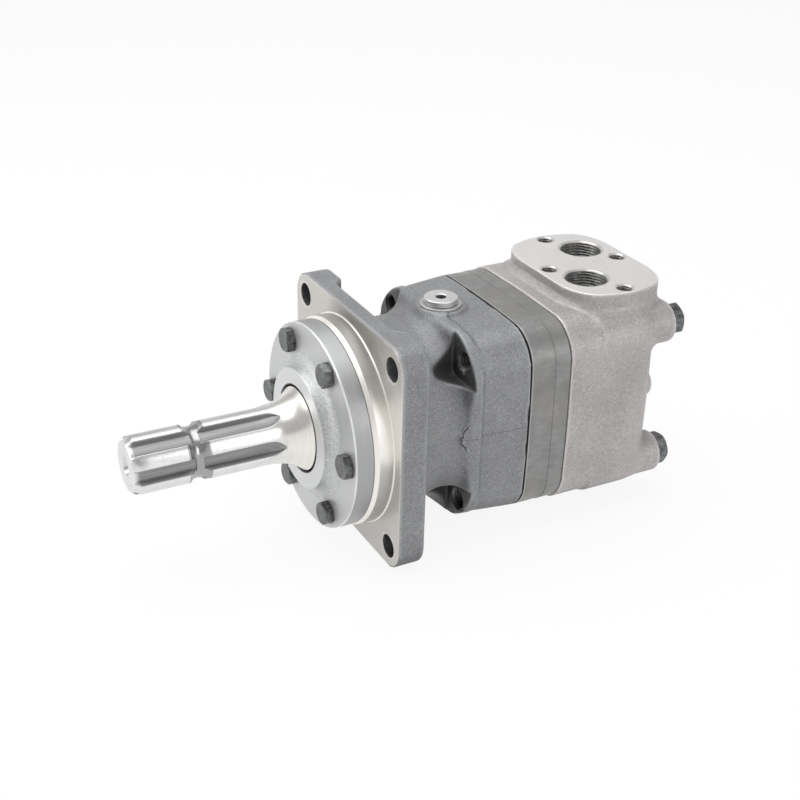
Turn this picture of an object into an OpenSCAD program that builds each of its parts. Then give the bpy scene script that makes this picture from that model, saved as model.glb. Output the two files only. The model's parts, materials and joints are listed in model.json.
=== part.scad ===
// Orbital hydraulic motor with a square mounting flange and a splined output shaft.
// The shaft lies along Y and points to -Y. The ports face up, to +Z.
// The origin is where the shaft axis meets the front face of the mounting flange.

/* [Mounting flange] */
// Width and height of the square flange
flange_w = 140; // [138:1:146]
// Radius of the flange corners
flange_corner_r = 15; // [8:1:18]
// Thickness of the flange at its corners
flange_t = 17; // [15:1:20]
// Thickness of the flange between its corners, at the top and bottom
flange_waist_t = 11; // [9:1:14]
// Pitch circle of the four mounting holes
mount_pcd = 160; // [156:1:162]
// Diameter of a mounting hole
mount_hole_d = 14; // [12:0.5:15]
// Diameter of the centring spigot
pilot_d = 125; // [122:1:128]
// Height of the centring spigot
pilot_h = 11.8; // [10.5:0.1:13]

/* [Housing] */
// Distance from the flange face to the gear set
housing_l = 88.6; // [86:0.5:96]
// Diameter of the round neck behind the flange
neck_d = 111; // [108:1:114]
// Width of the square body at the gear set
body_w = 121; // [119:1:126]
// Radius of the body corners
body_corner_r = 20; // [16:1:24]
// Radius of the slightly bulging body sides
body_side_r = 840; // [500:10:2000]
// Distance from the flange face to the face with the threaded bolt lugs
lug_y = 52; // [50:0.5:56]
// Distance from the axis of a rear bolt to the walls of its corner pocket
web_inset = 12; // [9:0.5:14]

/* [Rear bolts] */
// Distance from the sides of the body to the axis of each rear bolt
bolt_edge = 15.5; // [15:0.5:16.5]
// Thread diameter of the rear bolts
bolt_d = 12; // [10:1:12]
// Width across flats of the rear bolt heads
bolt_af = 18; // [17:1:19]
// Height of the rear bolt heads
bolt_head_h = 9; // [7:0.5:10]

/* [Front cover] */
// Diameter of the front cover
cover_d = 123; // [120:0.5:124]
// Distance from the spigot face to the flat face of the cover
cover_t = 11.5; // [10:0.5:14]
// How far the central boss of the cover stands out from its flat face
cover_boss_h = 7.8; // [6:0.2:10]
// Diameter of the flat face on the boss
cover_boss_d = 72; // [70:1:76]
// Diameter of the shaft opening
cover_bore_d = 51.2; // [51:0.1:53]
// Radius of the circle of the six cover bolts
cover_bolt_r = 51.5; // [50:0.5:52.5]
// Thread diameter of the cover bolts
cover_bolt_d = 8; // [6:1:8]
// Width across flats of the cover bolt heads
cover_bolt_af = 13; // [12:0.5:15]
// Height of the cover bolt heads
cover_bolt_head_h = 5.3; // [4:0.1:6]

/* [Output shaft] */
// Distance from the flange face to the end of the shaft
shaft_reach = 134; // [125:1:150]
// Outer diameter of the power take-off spline
spline_d = 34.85; // [34:0.05:35]
// Root diameter of the power take-off spline
spline_root_d = 29; // [28:0.1:30]
// Width of one of the six spline teeth
spline_tooth_w = 8.65; // [8:0.05:9]
// Distance from the shaft end to the middle of the locking groove
groove_offset = 38; // [36:0.5:40]
// Radius of the round bottom of the locking groove
groove_r = 6.8; // [5:0.1:7]
// Diameter of the shaft where it passes the seal
journal_d = 50; // [49:0.5:50]

/* [Gear set] */
// Width of the gear ring, which sets the displacement
gear_w = 16.5; // [16:0.5:30]
// Distance from the sides of the body to the circle of roller centres
roller_inset = 20.5; // [20:0.1:21]
// Diameter of a roller
roller_d = 18; // [17.6:0.1:18.2]
// Offset of the star from the motor axis
orbit_r = 2.75; // [2.6:0.05:2.85]
// Gap between the star and a roller
star_gap = 0.05; // [0.04:0.01:0.08]
// Width of the plate that channels the oil to the gear set
channel_w = 10.5; // [10:0.5:14]

/* [End cover] */
// Length of the end cover body without its bosses
end_cover_l = 65; // [63:1:70]
// Distance from the gear set side of the end cover to the port centre
port_y = 45.8; // [45:0.2:48]
// Height of the port face above the top of the end cover
port_rise = 9.5; // [9:0.5:12]
// Outer diameter of the port pad before its sides are cut flat
port_pad_d = 100; // [98:1:102]
// Width of the port pad between its flat sides
port_pad_w = 66; // [64:1:68]
// Crest diameter of the port threads
port_d = 26.4; // [24:0.1:27]
// Depth of the port threads
port_depth = 17; // [15:0.5:18]
// Sideways distance from the pad centre to a port
port_dx = 20.6; // [20:0.1:21]
// Lengthwise distance from the pad centre to a port
port_dy = 12; // [11.6:0.1:12.4]
// Sideways distance from the pad centre to the outer manifold holes
manifold_dx = 42.95; // [42:0.05:43.5]
// Lengthwise distance from the pad centre to the inner manifold holes
manifold_dy = 24.95; // [24.5:0.05:25.5]
// Crest diameter of the manifold threads
manifold_d = 10; // [8:1:10]
// Depth of the manifold threads
manifold_depth = 13; // [11:1:15]

/* [Drain] */
// Distance from the flange face to the drain plug
drain_y = 61.3; // [60:0.5:62.5]
// Diameter of the drain boss
drain_boss_d = 28; // [26:1:30]
// Crest diameter of the drain thread
drain_d = 13.2; // [12:0.1:14]

/* [Clearances] */
// Radial clearance of a running fit
run_gap = 0.04; // [0.02:0.01:0.08]
// Gap on each side of a part that turns between two plates
side_gap = 0.03; // [0.02:0.01:0.05]
// Clearance of the crowned drive splines
spline_gap = 0.5; // [0.45:0.05:0.6]

/* [Hidden] */
$fn = 96;
eps = 0.01;

// Sizes that follow the width of the body
bolt_xz = body_w / 2 - bolt_edge;
web_half_w = bolt_xz - web_inset;
roller_pcr = body_w / 2 - roller_inset;
plate_step = 1;
end_cover_w = body_w + 2 * plate_step;
port_z = end_cover_w / 2 + port_rise;

// Stations along the shaft axis
ring_y = housing_l;
channel_y = ring_y + gear_w;
rear_y = channel_y + channel_w;
rear_end_y = rear_y + end_cover_l;
cover_y = -pilot_h - cover_t;
boss_y = cover_y - cover_boss_h;

// Small gaps and seal rings
fit_gap = 0.05;
bolt_play = 0.5;
ring_t = 1.8;
groove_w = ring_t + 0.4;
groove_depth = ring_t + 2 * fit_gap;
joint_ring_r = roller_pcr + 12;

// Housing details
pilot_chamfer_r = 1.1;
pilot_chamfer_y = 2.7;
waist_half_w = 36.5;
waist_slope = 4;
flare_l = 14.5;
flare_y = lug_y - flare_l;
body_draft = 2.5;
lug_limit_r = 73;
lug_turn_r = 5;
lug_turn_l = 23;
pocket_y = 26;
pocket_round = 7;
cover_thread_l = 16;
bolt_relief_l = 14;
bolt_tip_inset = 10;
leak_inset = 8;
leak_y = housing_l - leak_inset;

// Drain boss and plug
drain_top_z = body_w / 2 + 1;
drain_thread_l = 12;
drain_drill_r = 4;
drain_washer_t = 1.5;
drain_washer_r = 12.6;
drain_collar_t = 3.6;
drain_collar_r = 10;
drain_socket_af = 6;
drain_socket_l = 5;

// Front cover and seals
chamfer = 0.8;
cover_pilot_l = 10.7;
cover_ring_y = -pilot_h + cover_pilot_l / 2;
seal_wall = 1.6;
dust_seal_inset = 5;
dust_seal_y = boss_y + dust_seal_inset;
dust_seal_l = 4.5;
dust_seal_r = 31;
shaft_seal_inset = 12;
shaft_seal_y = boss_y + shaft_seal_inset;
shaft_seal_l = 9;
shaft_seal_r = 34;

// Tapered bearings
shim_t = 1;
shim_in_r = 35;
bearing_w = 20;
bearing_spacing = 16;
front_bearing_y = cover_pilot_l + shim_t - pilot_h;
rear_bearing_y = front_bearing_y + bearing_w + bearing_spacing;
front_cup_r = 40;
rear_cup_r = 37.5;
journal_r = journal_d / 2;
rear_journal_r = 22.5;
roller_lean = 14;
taper_r = 3.75;
taper_l = 13;
taper_count = 19;
cup_inset = 3;
cone_inset = 0.5;
rib_h = 1.5;
rib_w = 2.5;
cage_t = 1.2;
cage_gap = 0.25;
cage_inset = 1.2;
cavity_r = 33;
cavity_tail_l = 12;
cavity_end_y = rear_bearing_y + bearing_w + cavity_tail_l;
drive_bore_r = 21;

// Output shaft details
end_chamfer_r = 2.6;
end_chamfer_y = 4;
centre_hole_r = 3.4;
centre_hole_l = 14;
centre_cone_r = 5.2;
groove_floor_r = 14.7;
cutter_r = 26;
space_run_out = 8;
shaft_flare_l = 18.9;
flare_start_y = boss_y - shaft_flare_l;
space_end_y = flare_start_y - space_run_out;
flare_rise = journal_r - spline_d / 2;
shaft_flare_r = (shaft_flare_l * shaft_flare_l + flare_rise * flare_rise) / (2 * flare_rise);
shaft_collar_r = 30;
shaft_tail_l = 6;
shaft_rear_y = rear_bearing_y + bearing_w + shaft_tail_l;

// Drive splines
drive_teeth = 12;
drive_tip_r = 15;
drive_root_r = 12.6;
drive_tooth_w = 3.4;
crown_r = 60;
shaft_spline_lead = 12;
shaft_spline_y = rear_bearing_y - shaft_spline_lead;
shaft_spline_l = 16;
shaft_bore_lead = 4;
shaft_bore_y = shaft_spline_y - shaft_bore_lead;
shaft_bore_r = 17;

// Cardan shaft, spacer and valve drive
cardan_front_y = shaft_spline_y + shaft_spline_l / 2;
cardan_inset = 4;
cardan_rear_y = ring_y + cardan_inset;
cardan_l = cardan_rear_y - cardan_front_y;
cardan_tilt = atan(orbit_r / cardan_l);
cardan_front_head_l = 14;
cardan_rear_head_l = 6;
cardan_neck_r = 11;
spacer_inset = 8;
spacer_end_inset = 7;
spacer_y = ring_y + spacer_inset;
spacer_end_y = channel_y - spacer_end_inset;
spacer_r = drive_root_r + spline_gap - run_gap;
valve_drive_inset = 3.45;
valve_drive_depth = 17.9;
valve_front_y = channel_y - valve_drive_inset;
valve_rear_y = rear_y + valve_drive_depth;
valve_l = valve_rear_y - valve_front_y;
valve_tilt = atan(orbit_r / valve_l);
valve_front_head_l = 3.6;
valve_rear_head_l = 5;
valve_tip_r = 12;
valve_root_r = 9.8;
valve_tooth_w = 2.7;
valve_neck_r = 8;

// Gear set and channels
roller_count = 9;
star_steps = 28;
star_crowding = 0.75;
ring_bore_r = roller_pcr - 1.5;
chamber_r = roller_pcr - 5;
window_r = 24;
channel_r = 2.6;
channel_bore_r = 15;

// Disc valve, balance plate and their rooms in the end cover
slot_count = 8;
slot_w = 5.4;
slot_depth = 7;
slot_in_r = 20;
slot_out_r = 28;
disc_y = rear_y + side_gap;
disc_r = 35;
disc_t = 13;
disc_hub_r = 22;
disc_hub_l = 9;
disc_bore_r = 13.6;
plate_y = disc_y + disc_t + side_gap;
plate_t = 7;
plate_end_y = plate_y + plate_t;
plate_r = 34;
plate_bore_r = disc_hub_r + 0.6;
plate_neck_r = 28;
plate_neck_l = 12;
plate_neck_end_y = plate_end_y + plate_neck_l;
plate_seal_insets = [6.2, 2.7];
spring_t = 1.2;
spring_room_l = 3.4;
valve_room_r = 41;
valve_room_end_y = plate_end_y + spring_room_l;
rear_room_tail_l = 3;
rear_room_end_y = plate_neck_end_y + rear_room_tail_l;

// End cover details
cover_edge_r = 16;
boss_r = 13;
boss_l = 11.4;
pad_corner_r = 12;
port_pad_t = port_rise + 0.5;
port_chamfer = 1;
gallery_r = 6;
gusset_w = 62;
gusset_foot_h = 30;
gusset_back_h = 24;
gusset_top_h = 6;
gusset_inset = 2;

// Check valves
check_x = 35;
check_boss_r = 9;
check_boss_l = 9.6;
check_boss_end_y = rear_end_y + check_boss_l;
check_seat_inset = 12;
check_seat_y = rear_end_y - check_seat_inset;
check_drill_r = 2.2;
check_bore_r = 4.6;
check_ball_r = 4;
check_lift = 1.2;
check_ball_y = check_seat_y + sqrt(check_ball_r ^ 2 - check_drill_r ^ 2) + fit_gap;
check_plug_r = 5.5;
check_plug_l = 9;
check_plug_rise = 0.6;
check_nose_r = 3.5;
check_socket_af = 6;
check_socket_l = 4;
drain_link_r = 1.5;

// Turns a shape drawn upwards so that it lies along +Y, from the station y
module along_y(y = 0) {
    translate([0, y, 0])
        rotate([-90, 0, 0])
            children();
}

// Solid of revolution about Y; the profile's x is the radius and its y the station
module turned() {
    rotate([-90, 0, 0])
        rotate_extrude()
            children();
}

// Places children at the four rear bolts
module at_rear_bolts() {
    for (sx = [-1, 1], sz = [-1, 1])
        translate([sx * bolt_xz, 0, sz * bolt_xz])
            children();
}

// Places children at the six cover bolts
module at_cover_bolts() {
    for (turn = [0:60:300])
        rotate([0, turn, 0])
            translate([cover_bolt_r, 0, 0])
                children();
}

// Cylinder about Y between two stations
module rod(y0, y1, r) {
    along_y(y0)
        cylinder(h = y1 - y0, r = r);
}

// Cylinder drilled from one point to another
module drill(from, to, r) {
    d = to - from;
    length = norm(d);
    translate(from)
        rotate([0, acos(d[2] / length), atan2(d[1], d[0])])
            cylinder(h = length, r = r);
}

// Half of the profile of a ring, from radius and station limits
module band(r0, r1, y0, y1) {
    translate([r0, y0])
        square([r1 - r0, y1 - y0]);
}

// Square with bulging sides of radius body_side_r and corner arcs tangent to them
module crowned_square(w) {
    inset = body_side_r - w / 2;
    reach = body_side_r - body_corner_r;
    centre = (sqrt(2 * reach * reach - inset * inset) - inset) / 2;
    side_end = body_side_r * sin(atan2(centre, centre + inset));
    intersection() {
        bulge([-inset, 0]);
        bulge([inset, 0]);
        bulge([0, -inset]);
        bulge([0, inset]);
        union() {
            square([2 * side_end, w], center = true);
            square([w, 2 * side_end], center = true);
        }
    }
    for (sx = [-1, 1], sy = [-1, 1])
        translate([sx * centre, sy * centre])
            circle(r = body_corner_r);
}

// Large disc whose edge is one bulging side
module bulge(centre) {
    translate(centre)
        circle(r = body_side_r, $fn = 1440);
}

// Rectangle with round corners, centred
module rounded_rect(w, h, r) {
    square([w - 2 * r, h], center = true);
    square([w, h - 2 * r], center = true);
    for (sx = [-1, 1], sy = [-1, 1])
        translate([sx * (w / 2 - r), sy * (h / 2 - r)])
            circle(r = r);
}

// Plate of the gear set stack, with its bolt holes
module stack_plate(y, t, w) {
    difference() {
        along_y(y)
            linear_extrude(t)
                crowned_square(w);
        at_rear_bolts()
            rod(y - eps, y + t + eps, bolt_d / 2 + bolt_play);
    }
}

// Hexagon head with its upper edge turned to a chamfer
module hex_head(af, h) {
    flat_r = 0.95 * af / 2;
    edge_r = af / sqrt(3) + 1;
    intersection() {
        cylinder(h = h, r = af / sqrt(3), $fn = 6);
        rotate_extrude()
            polygon([
                [0, 0], [edge_r, 0], [edge_r, h - (edge_r - flat_r) * tan(30)],
                [flat_r, h], [0, h]
            ]);
    }
}

// Hexagon bolt drawn along Z, its head above the plane and its shank below
module hex_bolt(af, head_h, d, shank_l) {
    hex_head(af, head_h);
    translate([0, 0, -shank_l])
        cylinder(h = shank_l + eps, r = d / 2 - fit_gap);
}

// Seal ring about Y with its centre circle at radius r and station y
module o_ring(r, y) {
    turned()
        translate([r, y])
            circle(d = ring_t);
}

// Groove for a joint ring, from the station y
module joint_groove(y) {
    band(joint_ring_r - groove_w / 2, joint_ring_r + groove_w / 2, y, y + groove_depth);
}

// Outline of an external drive spline; grow widens it for the mating bore
module drive_spline(tip_r, root_r, tooth_w, grow = 0) {
    circle(r = root_r + grow);
    intersection() {
        circle(r = tip_r + grow);
        for (turn = [0:360 / drive_teeth:179])
            rotate(turn)
                square([2 * (tip_r + grow + 1), tooth_w + 2 * grow], center = true);
    }
}

// Splined head that fits the star and the output shaft
module drive_head(l) {
    crowned_head(drive_tip_r, drive_root_r, drive_tooth_w, l);
}

// Splined head with a crowned outside, centred on its own middle
module crowned_head(tip_r, root_r, tooth_w, l) {
    intersection() {
        linear_extrude(l, center = true)
            drive_spline(tip_r, root_r, tooth_w);
        rotate_extrude()
            intersection() {
                translate([tip_r - crown_r, 0])
                    circle(r = crown_r, $fn = 256);
                translate([0, -l / 2])
                    square([tip_r, l]);
            }
    }
}

// Housing: flange, spigot, neck, body with four bolt lugs, and drain boss
module housing() {
    color("slategray")
        difference() {
            union() {
                housing_flange();
                housing_neck();
                housing_body();
                drain_boss();
            }
            housing_pockets();
            housing_bores();
            housing_holes();
        }
}

// Square flange with a round spigot on its front and a waist at the top and bottom
module housing_flange() {
    r = pilot_d / 2;
    turned()
        polygon([
            [0, -pilot_h], [r - pilot_chamfer_r, -pilot_h],
            [r, -pilot_h + pilot_chamfer_y], [r, 1], [0, 1]
        ]);
    difference() {
        along_y()
            linear_extrude(flange_t)
                rounded_rect(flange_w, flange_w, flange_corner_r);
        translate([0, 0, -flange_w])
            linear_extrude(2 * flange_w)
                polygon([
                    [-waist_half_w - waist_slope, flange_t + eps],
                    [-waist_half_w, flange_waist_t],
                    [waist_half_w, flange_waist_t],
                    [waist_half_w + waist_slope, flange_t + eps]
                ]);
    }
}

// Round neck that flares out in a hollow curve to the square body
module housing_neck() {
    r = neck_d / 2;
    intersection() {
        turned() {
            band(0, r, eps, lug_y + eps);
            difference() {
                band(r - eps, r + flare_l, flare_y, lug_y + eps);
                translate([r + flare_l, flare_y])
                    circle(r = flare_l);
            }
        }
        along_y()
            linear_extrude(lug_y + 1)
                crowned_square(body_w);
    }
}

// Square body with drafted sides; its front corners are turned down
module housing_body() {
    l = housing_l - lug_y;
    intersection() {
        along_y(lug_y)
            linear_extrude(l)
                crowned_square(body_w);
        drafted_sides()
            cylinder(h = l, r1 = body_side_r - body_draft, r2 = body_side_r, $fn = 1440);
        turned()
            difference() {
                band(0, body_w, lug_y, housing_l);
                polygon([
                    [lug_limit_r, lug_y - eps],
                    [lug_limit_r + lug_turn_r, lug_y + lug_turn_l],
                    [body_w + 1, lug_y + lug_turn_l],
                    [body_w + 1, lug_y - eps]
                ]);
            }
    }
}

// What the four drafted sides of the body have in common
module drafted_sides() {
    inset = body_side_r - body_w / 2;
    intersection() {
        translate([-inset, 0, 0])
            along_y(lug_y)
                children();
        translate([inset, 0, 0])
            along_y(lug_y)
                children();
        translate([0, 0, -inset])
            along_y(lug_y)
                children();
        translate([0, 0, inset])
            along_y(lug_y)
                children();
    }
}

// Round boss on top of the body for the drain plug
module drain_boss() {
    translate([0, drain_y, cavity_r + 6])
        cylinder(h = drain_top_z - cavity_r - 6, d = drain_boss_d);
}

// Corner pockets between the flange and the bolt lugs, rounded towards the flange
module housing_pockets() {
    for (turn = [0:90:270])
        rotate([0, turn, 0])
            intersection() {
                translate([web_half_w + body_w / 2, 0, web_half_w + body_w / 2])
                    along_y(pocket_y)
                        linear_extrude(lug_y - pocket_y)
                            rounded_rect(body_w, body_w, pocket_round);
                pocket_plan();
                mirror([1, 0, -1])
                    pocket_plan();
            }
}

// Plan of a corner pocket, rounded at its front end
module pocket_plan() {
    translate([web_half_w + body_w / 2, lug_y, 0])
        linear_extrude(body_w)
            rounded_rect(body_w, 2 * (lug_y - pocket_y), pocket_round);
}

// Bores for the front cover, the bearings and the cardan shaft, and the joint groove
module housing_bores() {
    turned() {
        band(0, front_cup_r, -pilot_h - eps, front_bearing_y + bearing_w);
        band(0, rear_cup_r, 0, rear_bearing_y + bearing_w);
        band(0, cavity_r, 0, cavity_end_y);
        band(0, drive_bore_r, 0, housing_l + eps);
        joint_groove(housing_l - groove_depth);
    }
}

// Holes for the mounting bolts, the rear bolts, the cover bolts and the drain
module housing_holes() {
    hole_xz = mount_pcd / 2 / sqrt(2);
    for (sx = [-1, 1], sz = [-1, 1])
        translate([sx * hole_xz, 0, sz * hole_xz])
            rod(-eps, flange_t + eps, mount_hole_d / 2);
    at_rear_bolts() {
        rod(lug_y - eps, housing_l + eps, bolt_d / 2);
        rod(housing_l - bolt_relief_l, housing_l + eps, bolt_d / 2 + bolt_play);
    }
    at_cover_bolts()
        rod(-pilot_h - eps, cover_thread_l - pilot_h, cover_bolt_d / 2);
    for (sx = [-1, 1])
        drill([sx * drive_bore_r / 2, leak_y, -drive_bore_r / 2],
              [sx * bolt_xz, leak_y, -bolt_xz], drain_link_r);
    translate([0, drain_y, drain_top_z - drain_thread_l])
        cylinder(h = drain_thread_l + eps, d = drain_d);
    translate([0, drain_y, cavity_r - 3])
        cylinder(h = drain_top_z - cavity_r, r = drain_drill_r);
}

// Front cover with its raised boss, seal pockets and pilot
module front_cover() {
    color("silver")
        difference() {
            turned()
                difference() {
                    front_cover_profile();
                    band(0, cover_bore_d / 2, boss_y - 1, 0);
                    band(0, dust_seal_r, dust_seal_y, 0);
                    band(0, shaft_seal_r, shaft_seal_y, 0);
                    band(front_cup_r - groove_depth, front_cup_r + 1,
                         cover_ring_y - groove_w / 2, cover_ring_y + groove_w / 2);
                }
            at_cover_bolts()
                rod(cover_y - 1, 0, cover_bolt_d / 2 + bolt_play);
        }
}

// Half section of the front cover; the boss runs out in a hollow curve
module front_cover_profile() {
    r = cover_d / 2;
    foot_r = cover_boss_d / 2 + cover_boss_h;
    polygon([
        [0, cover_y], [r - chamfer, cover_y],
        [r, cover_y + chamfer], [r, -pilot_h], [0, -pilot_h]
    ]);
    difference() {
        band(0, foot_r, boss_y, cover_y + eps);
        translate([foot_r, boss_y])
            circle(r = cover_boss_h);
    }
    band(0, front_cup_r - fit_gap, -pilot_h - 1, cover_pilot_l - pilot_h);
}

module cover_bolts() {
    color("dimgray")
        at_cover_bolts()
            translate([0, cover_y, 0])
                rotate([90, 30, 0])
                    hex_bolt(cover_bolt_af, cover_bolt_head_h, cover_bolt_d,
                             cover_t + cover_thread_l - 3);
}

module cover_seal_ring() {
    color("black")
        o_ring(front_cup_r - fit_gap - ring_t / 2, cover_ring_y);
}

// Seal body with a lip that runs on the shaft
module lip_seal(y, l, r) {
    lip_r = journal_r + run_gap;
    turned()
        polygon([
            [r, y], [r, y + l], [r - seal_wall, y + l], [r - seal_wall, y + seal_wall],
            [lip_r + seal_wall, y + seal_wall], [lip_r + seal_wall, y + l - seal_wall],
            [lip_r, y + l / 2], [lip_r + seal_wall / 2, y]
        ]);
}

module dust_seal() {
    color("black")
        lip_seal(dust_seal_y, dust_seal_l, dust_seal_r - fit_gap);
}

module shaft_seal() {
    color("saddlebrown")
        lip_seal(shaft_seal_y, shaft_seal_l, shaft_seal_r - fit_gap);
}

// Shaft: six-tooth spline, locking groove, flare, journal, bearing seats and drive bore
module output_shaft() {
    color("gainsboro")
        difference() {
            shaft_solid();
            for (turn = [0:60:300])
                rotate([0, turn, 0])
                    spline_space();
            turned()
                translate([groove_floor_r + groove_r, groove_offset - shaft_reach])
                    circle(r = groove_r);
            shaft_end_cuts();
            along_y(shaft_spline_y)
                linear_extrude(shaft_spline_l + eps)
                    drive_spline(drive_tip_r, drive_root_r, drive_tooth_w, spline_gap);
            rod(shaft_bore_y, shaft_spline_y + eps, drive_tip_r + spline_gap);
            rod(shaft_spline_y + shaft_spline_l, shaft_rear_y + eps, shaft_bore_r);
        }
}

// Turned outside of the shaft, with a hollow flare in front of the seal
module shaft_solid() {
    r = spline_d / 2;
    turned() {
        polygon([
            [0, -shaft_reach], [r - end_chamfer_r, -shaft_reach],
            [r, end_chamfer_y - shaft_reach], [r, flare_start_y + eps],
            [0, flare_start_y + eps]
        ]);
        difference() {
            band(0, journal_r, flare_start_y, front_bearing_y + bearing_w + eps);
            translate([r + shaft_flare_r, flare_start_y])
                circle(r = shaft_flare_r, $fn = 256);
        }
        band(0, shaft_collar_r, front_bearing_y + bearing_w, rear_bearing_y);
        band(0, rear_journal_r, rear_bearing_y - eps, shaft_rear_y);
    }
}

// One space between two spline teeth, run out by a round cutter
module spline_space() {
    half = spline_tooth_w / 2;
    apex = half / sin(30);
    far = spline_d;
    wide = (far - apex) * tan(30);
    difference() {
        along_y(-shaft_reach - eps)
            linear_extrude(space_end_y + shaft_reach)
                polygon([[apex, 0], [far, wide], [far, -wide]]);
        rod(-shaft_reach - 1, space_end_y + 1, spline_root_d / 2);
    }
    intersection() {
        along_y(space_end_y - 2 * eps)
            linear_extrude(cutter_r)
                polygon([[apex, 0], [far, wide], [far, -wide]]);
        translate([spline_root_d / 2 + cutter_r, space_end_y, -far])
            cylinder(h = 2 * far, r = cutter_r);
    }
}

// Centre hole in the shaft end
module shaft_end_cuts() {
    along_y(-shaft_reach - eps) {
        cylinder(h = centre_hole_l, r = centre_hole_r);
        cylinder(h = centre_cone_r, r1 = centre_cone_r, r2 = eps);
    }
}

module bearing_shim() {
    color("lightsteelblue")
        turned()
            band(shim_in_r, front_cup_r - fit_gap, cover_pilot_l - pilot_h, front_bearing_y);
}

// Half angle of a tapered roller, so that the roller and both races meet on the axis
function roller_taper(mid_r) = atan(taper_r * sin(roller_lean) / mid_r);

// Radius of a bearing race at the distance z from the outer side of the bearing.
// The side is 1 for the cup and -1 for the cone.
function race_radius(mid_r, side, z) =
    mid_r + side * taper_r * cos(roller_lean)
    + (z - bearing_w / 2 + side * taper_r * sin(roller_lean))
    * tan(roller_lean + side * roller_taper(mid_r));

// Moves a bearing part drawn from its outer side so that it faces the right way
module bearing_place(y, front) {
    if (front)
        along_y(y)
            children();
    else
        translate([0, y + bearing_w, 0])
            rotate([90, 0, 0])
                children();
}

module bearing_cup(cup_r, seat_r) {
    mid_r = (cup_r + seat_r) / 2;
    end = bearing_w - cup_inset;
    rotate_extrude()
        polygon([
            [race_radius(mid_r, 1, 0) + run_gap, 0], [cup_r - fit_gap, 0],
            [cup_r - fit_gap, end], [race_radius(mid_r, 1, end) + run_gap, end]
        ]);
}

// Inner ring with a small rib at the outer side and a guiding rib at the inner side
module bearing_cone(cup_r, seat_r) {
    mid_r = (cup_r + seat_r) / 2;
    low = rib_w;
    big_r = taper_r + taper_l / 2 * tan(roller_taper(mid_r));
    high = bearing_w / 2 + taper_l / 2 * cos(roller_lean) + big_r * sin(roller_lean) + run_gap;
    low_r = race_radius(mid_r, -1, low) - run_gap;
    high_r = race_radius(mid_r, -1, high) - run_gap;
    rotate_extrude()
        polygon([
            [seat_r + fit_gap, cone_inset], [seat_r + fit_gap, bearing_w],
            [high_r + rib_h, bearing_w], [high_r + rib_h, high], [high_r, high],
            [low_r, low], [low_r + rib_h / 3, low], [low_r + rib_h / 3, cone_inset]
        ]);
}

module bearing_rollers(cup_r, seat_r, grow = 0) {
    mid_r = (cup_r + seat_r) / 2;
    half_l = taper_l / 2 + grow;
    spread = half_l * tan(roller_taper(mid_r));
    for (turn = [0:360 / taper_count:359])
        rotate(turn)
            translate([mid_r, 0, bearing_w / 2])
                rotate([0, roller_lean, 0])
                    translate([0, 0, -half_l])
                        cylinder(h = 2 * half_l, r1 = taper_r - spread + grow,
                                 r2 = taper_r + spread + grow, $fn = 32);
}

// Conical cage with a window for each roller
module bearing_cage(cup_r, seat_r) {
    mid_r = (cup_r + seat_r) / 2;
    low = cage_inset;
    high = bearing_w - cage_inset;
    low_r = mid_r + (low - bearing_w / 2) * tan(roller_lean);
    high_r = mid_r + (high - bearing_w / 2) * tan(roller_lean);
    difference() {
        rotate_extrude()
            polygon([
                [low_r - cage_t / 2, low], [low_r + cage_t / 2, low],
                [high_r + cage_t / 2, high], [high_r - cage_t / 2, high]
            ]);
        bearing_rollers(cup_r, seat_r, cage_gap);
    }
}

module front_bearing_cup() {
    color("lightgray")
        bearing_place(front_bearing_y, true)
            bearing_cup(front_cup_r, journal_r);
}

module front_bearing_cone() {
    color("lightgray")
        bearing_place(front_bearing_y, true)
            bearing_cone(front_cup_r, journal_r);
}

module front_bearing_rollers() {
    color("silver")
        bearing_place(front_bearing_y, true)
            bearing_rollers(front_cup_r, journal_r);
}

module front_bearing_cage() {
    color("tan")
        bearing_place(front_bearing_y, true)
            bearing_cage(front_cup_r, journal_r);
}

module rear_bearing_cup() {
    color("lightgray")
        bearing_place(rear_bearing_y, false)
            bearing_cup(rear_cup_r, rear_journal_r);
}

module rear_bearing_cone() {
    color("lightgray")
        bearing_place(rear_bearing_y, false)
            bearing_cone(rear_cup_r, rear_journal_r);
}

module rear_bearing_rollers() {
    color("silver")
        bearing_place(rear_bearing_y, false)
            bearing_rollers(rear_cup_r, rear_journal_r);
}

module rear_bearing_cage() {
    color("tan")
        bearing_place(rear_bearing_y, false)
            bearing_cage(rear_cup_r, rear_journal_r);
}

// Shaft with two crowned heads that carries the star's turning to the output shaft
module cardan_shaft() {
    color("darkgray")
        translate([0, cardan_front_y, 0])
            rotate([0, 0, -cardan_tilt])
                along_y() {
                    drive_head(cardan_front_head_l);
                    cylinder(h = cardan_l, r = cardan_neck_r);
                    translate([0, 0, cardan_l / cos(cardan_tilt)])
                        drive_head(cardan_rear_head_l);
                }
}

// Disc between the two drives, inside the star's spline
module drive_spacer() {
    color("burlywood")
        translate([orbit_r, 0, 0])
            rod(spacer_y, spacer_end_y, spacer_r);
}

// Ring with a round pocket for each roller
module gear_ring() {
    color("dimgray")
        difference() {
            stack_plate(ring_y, gear_w, body_w);
            rod(ring_y - eps, channel_y + eps, ring_bore_r);
            for (i = [1:roller_count])
                at_gear_roller(i)
                    rod(ring_y - eps, channel_y + eps, roller_d / 2 + run_gap);
        }
}

module at_gear_roller(i) {
    rotate([0, -i * 360 / roller_count, 0])
        translate([roller_pcr, 0, 0])
            children();
}

module gear_roller(i) {
    color("silver")
        at_gear_roller(i)
            rod(ring_y + side_gap, channel_y - side_gap, roller_d / 2);
}

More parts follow.
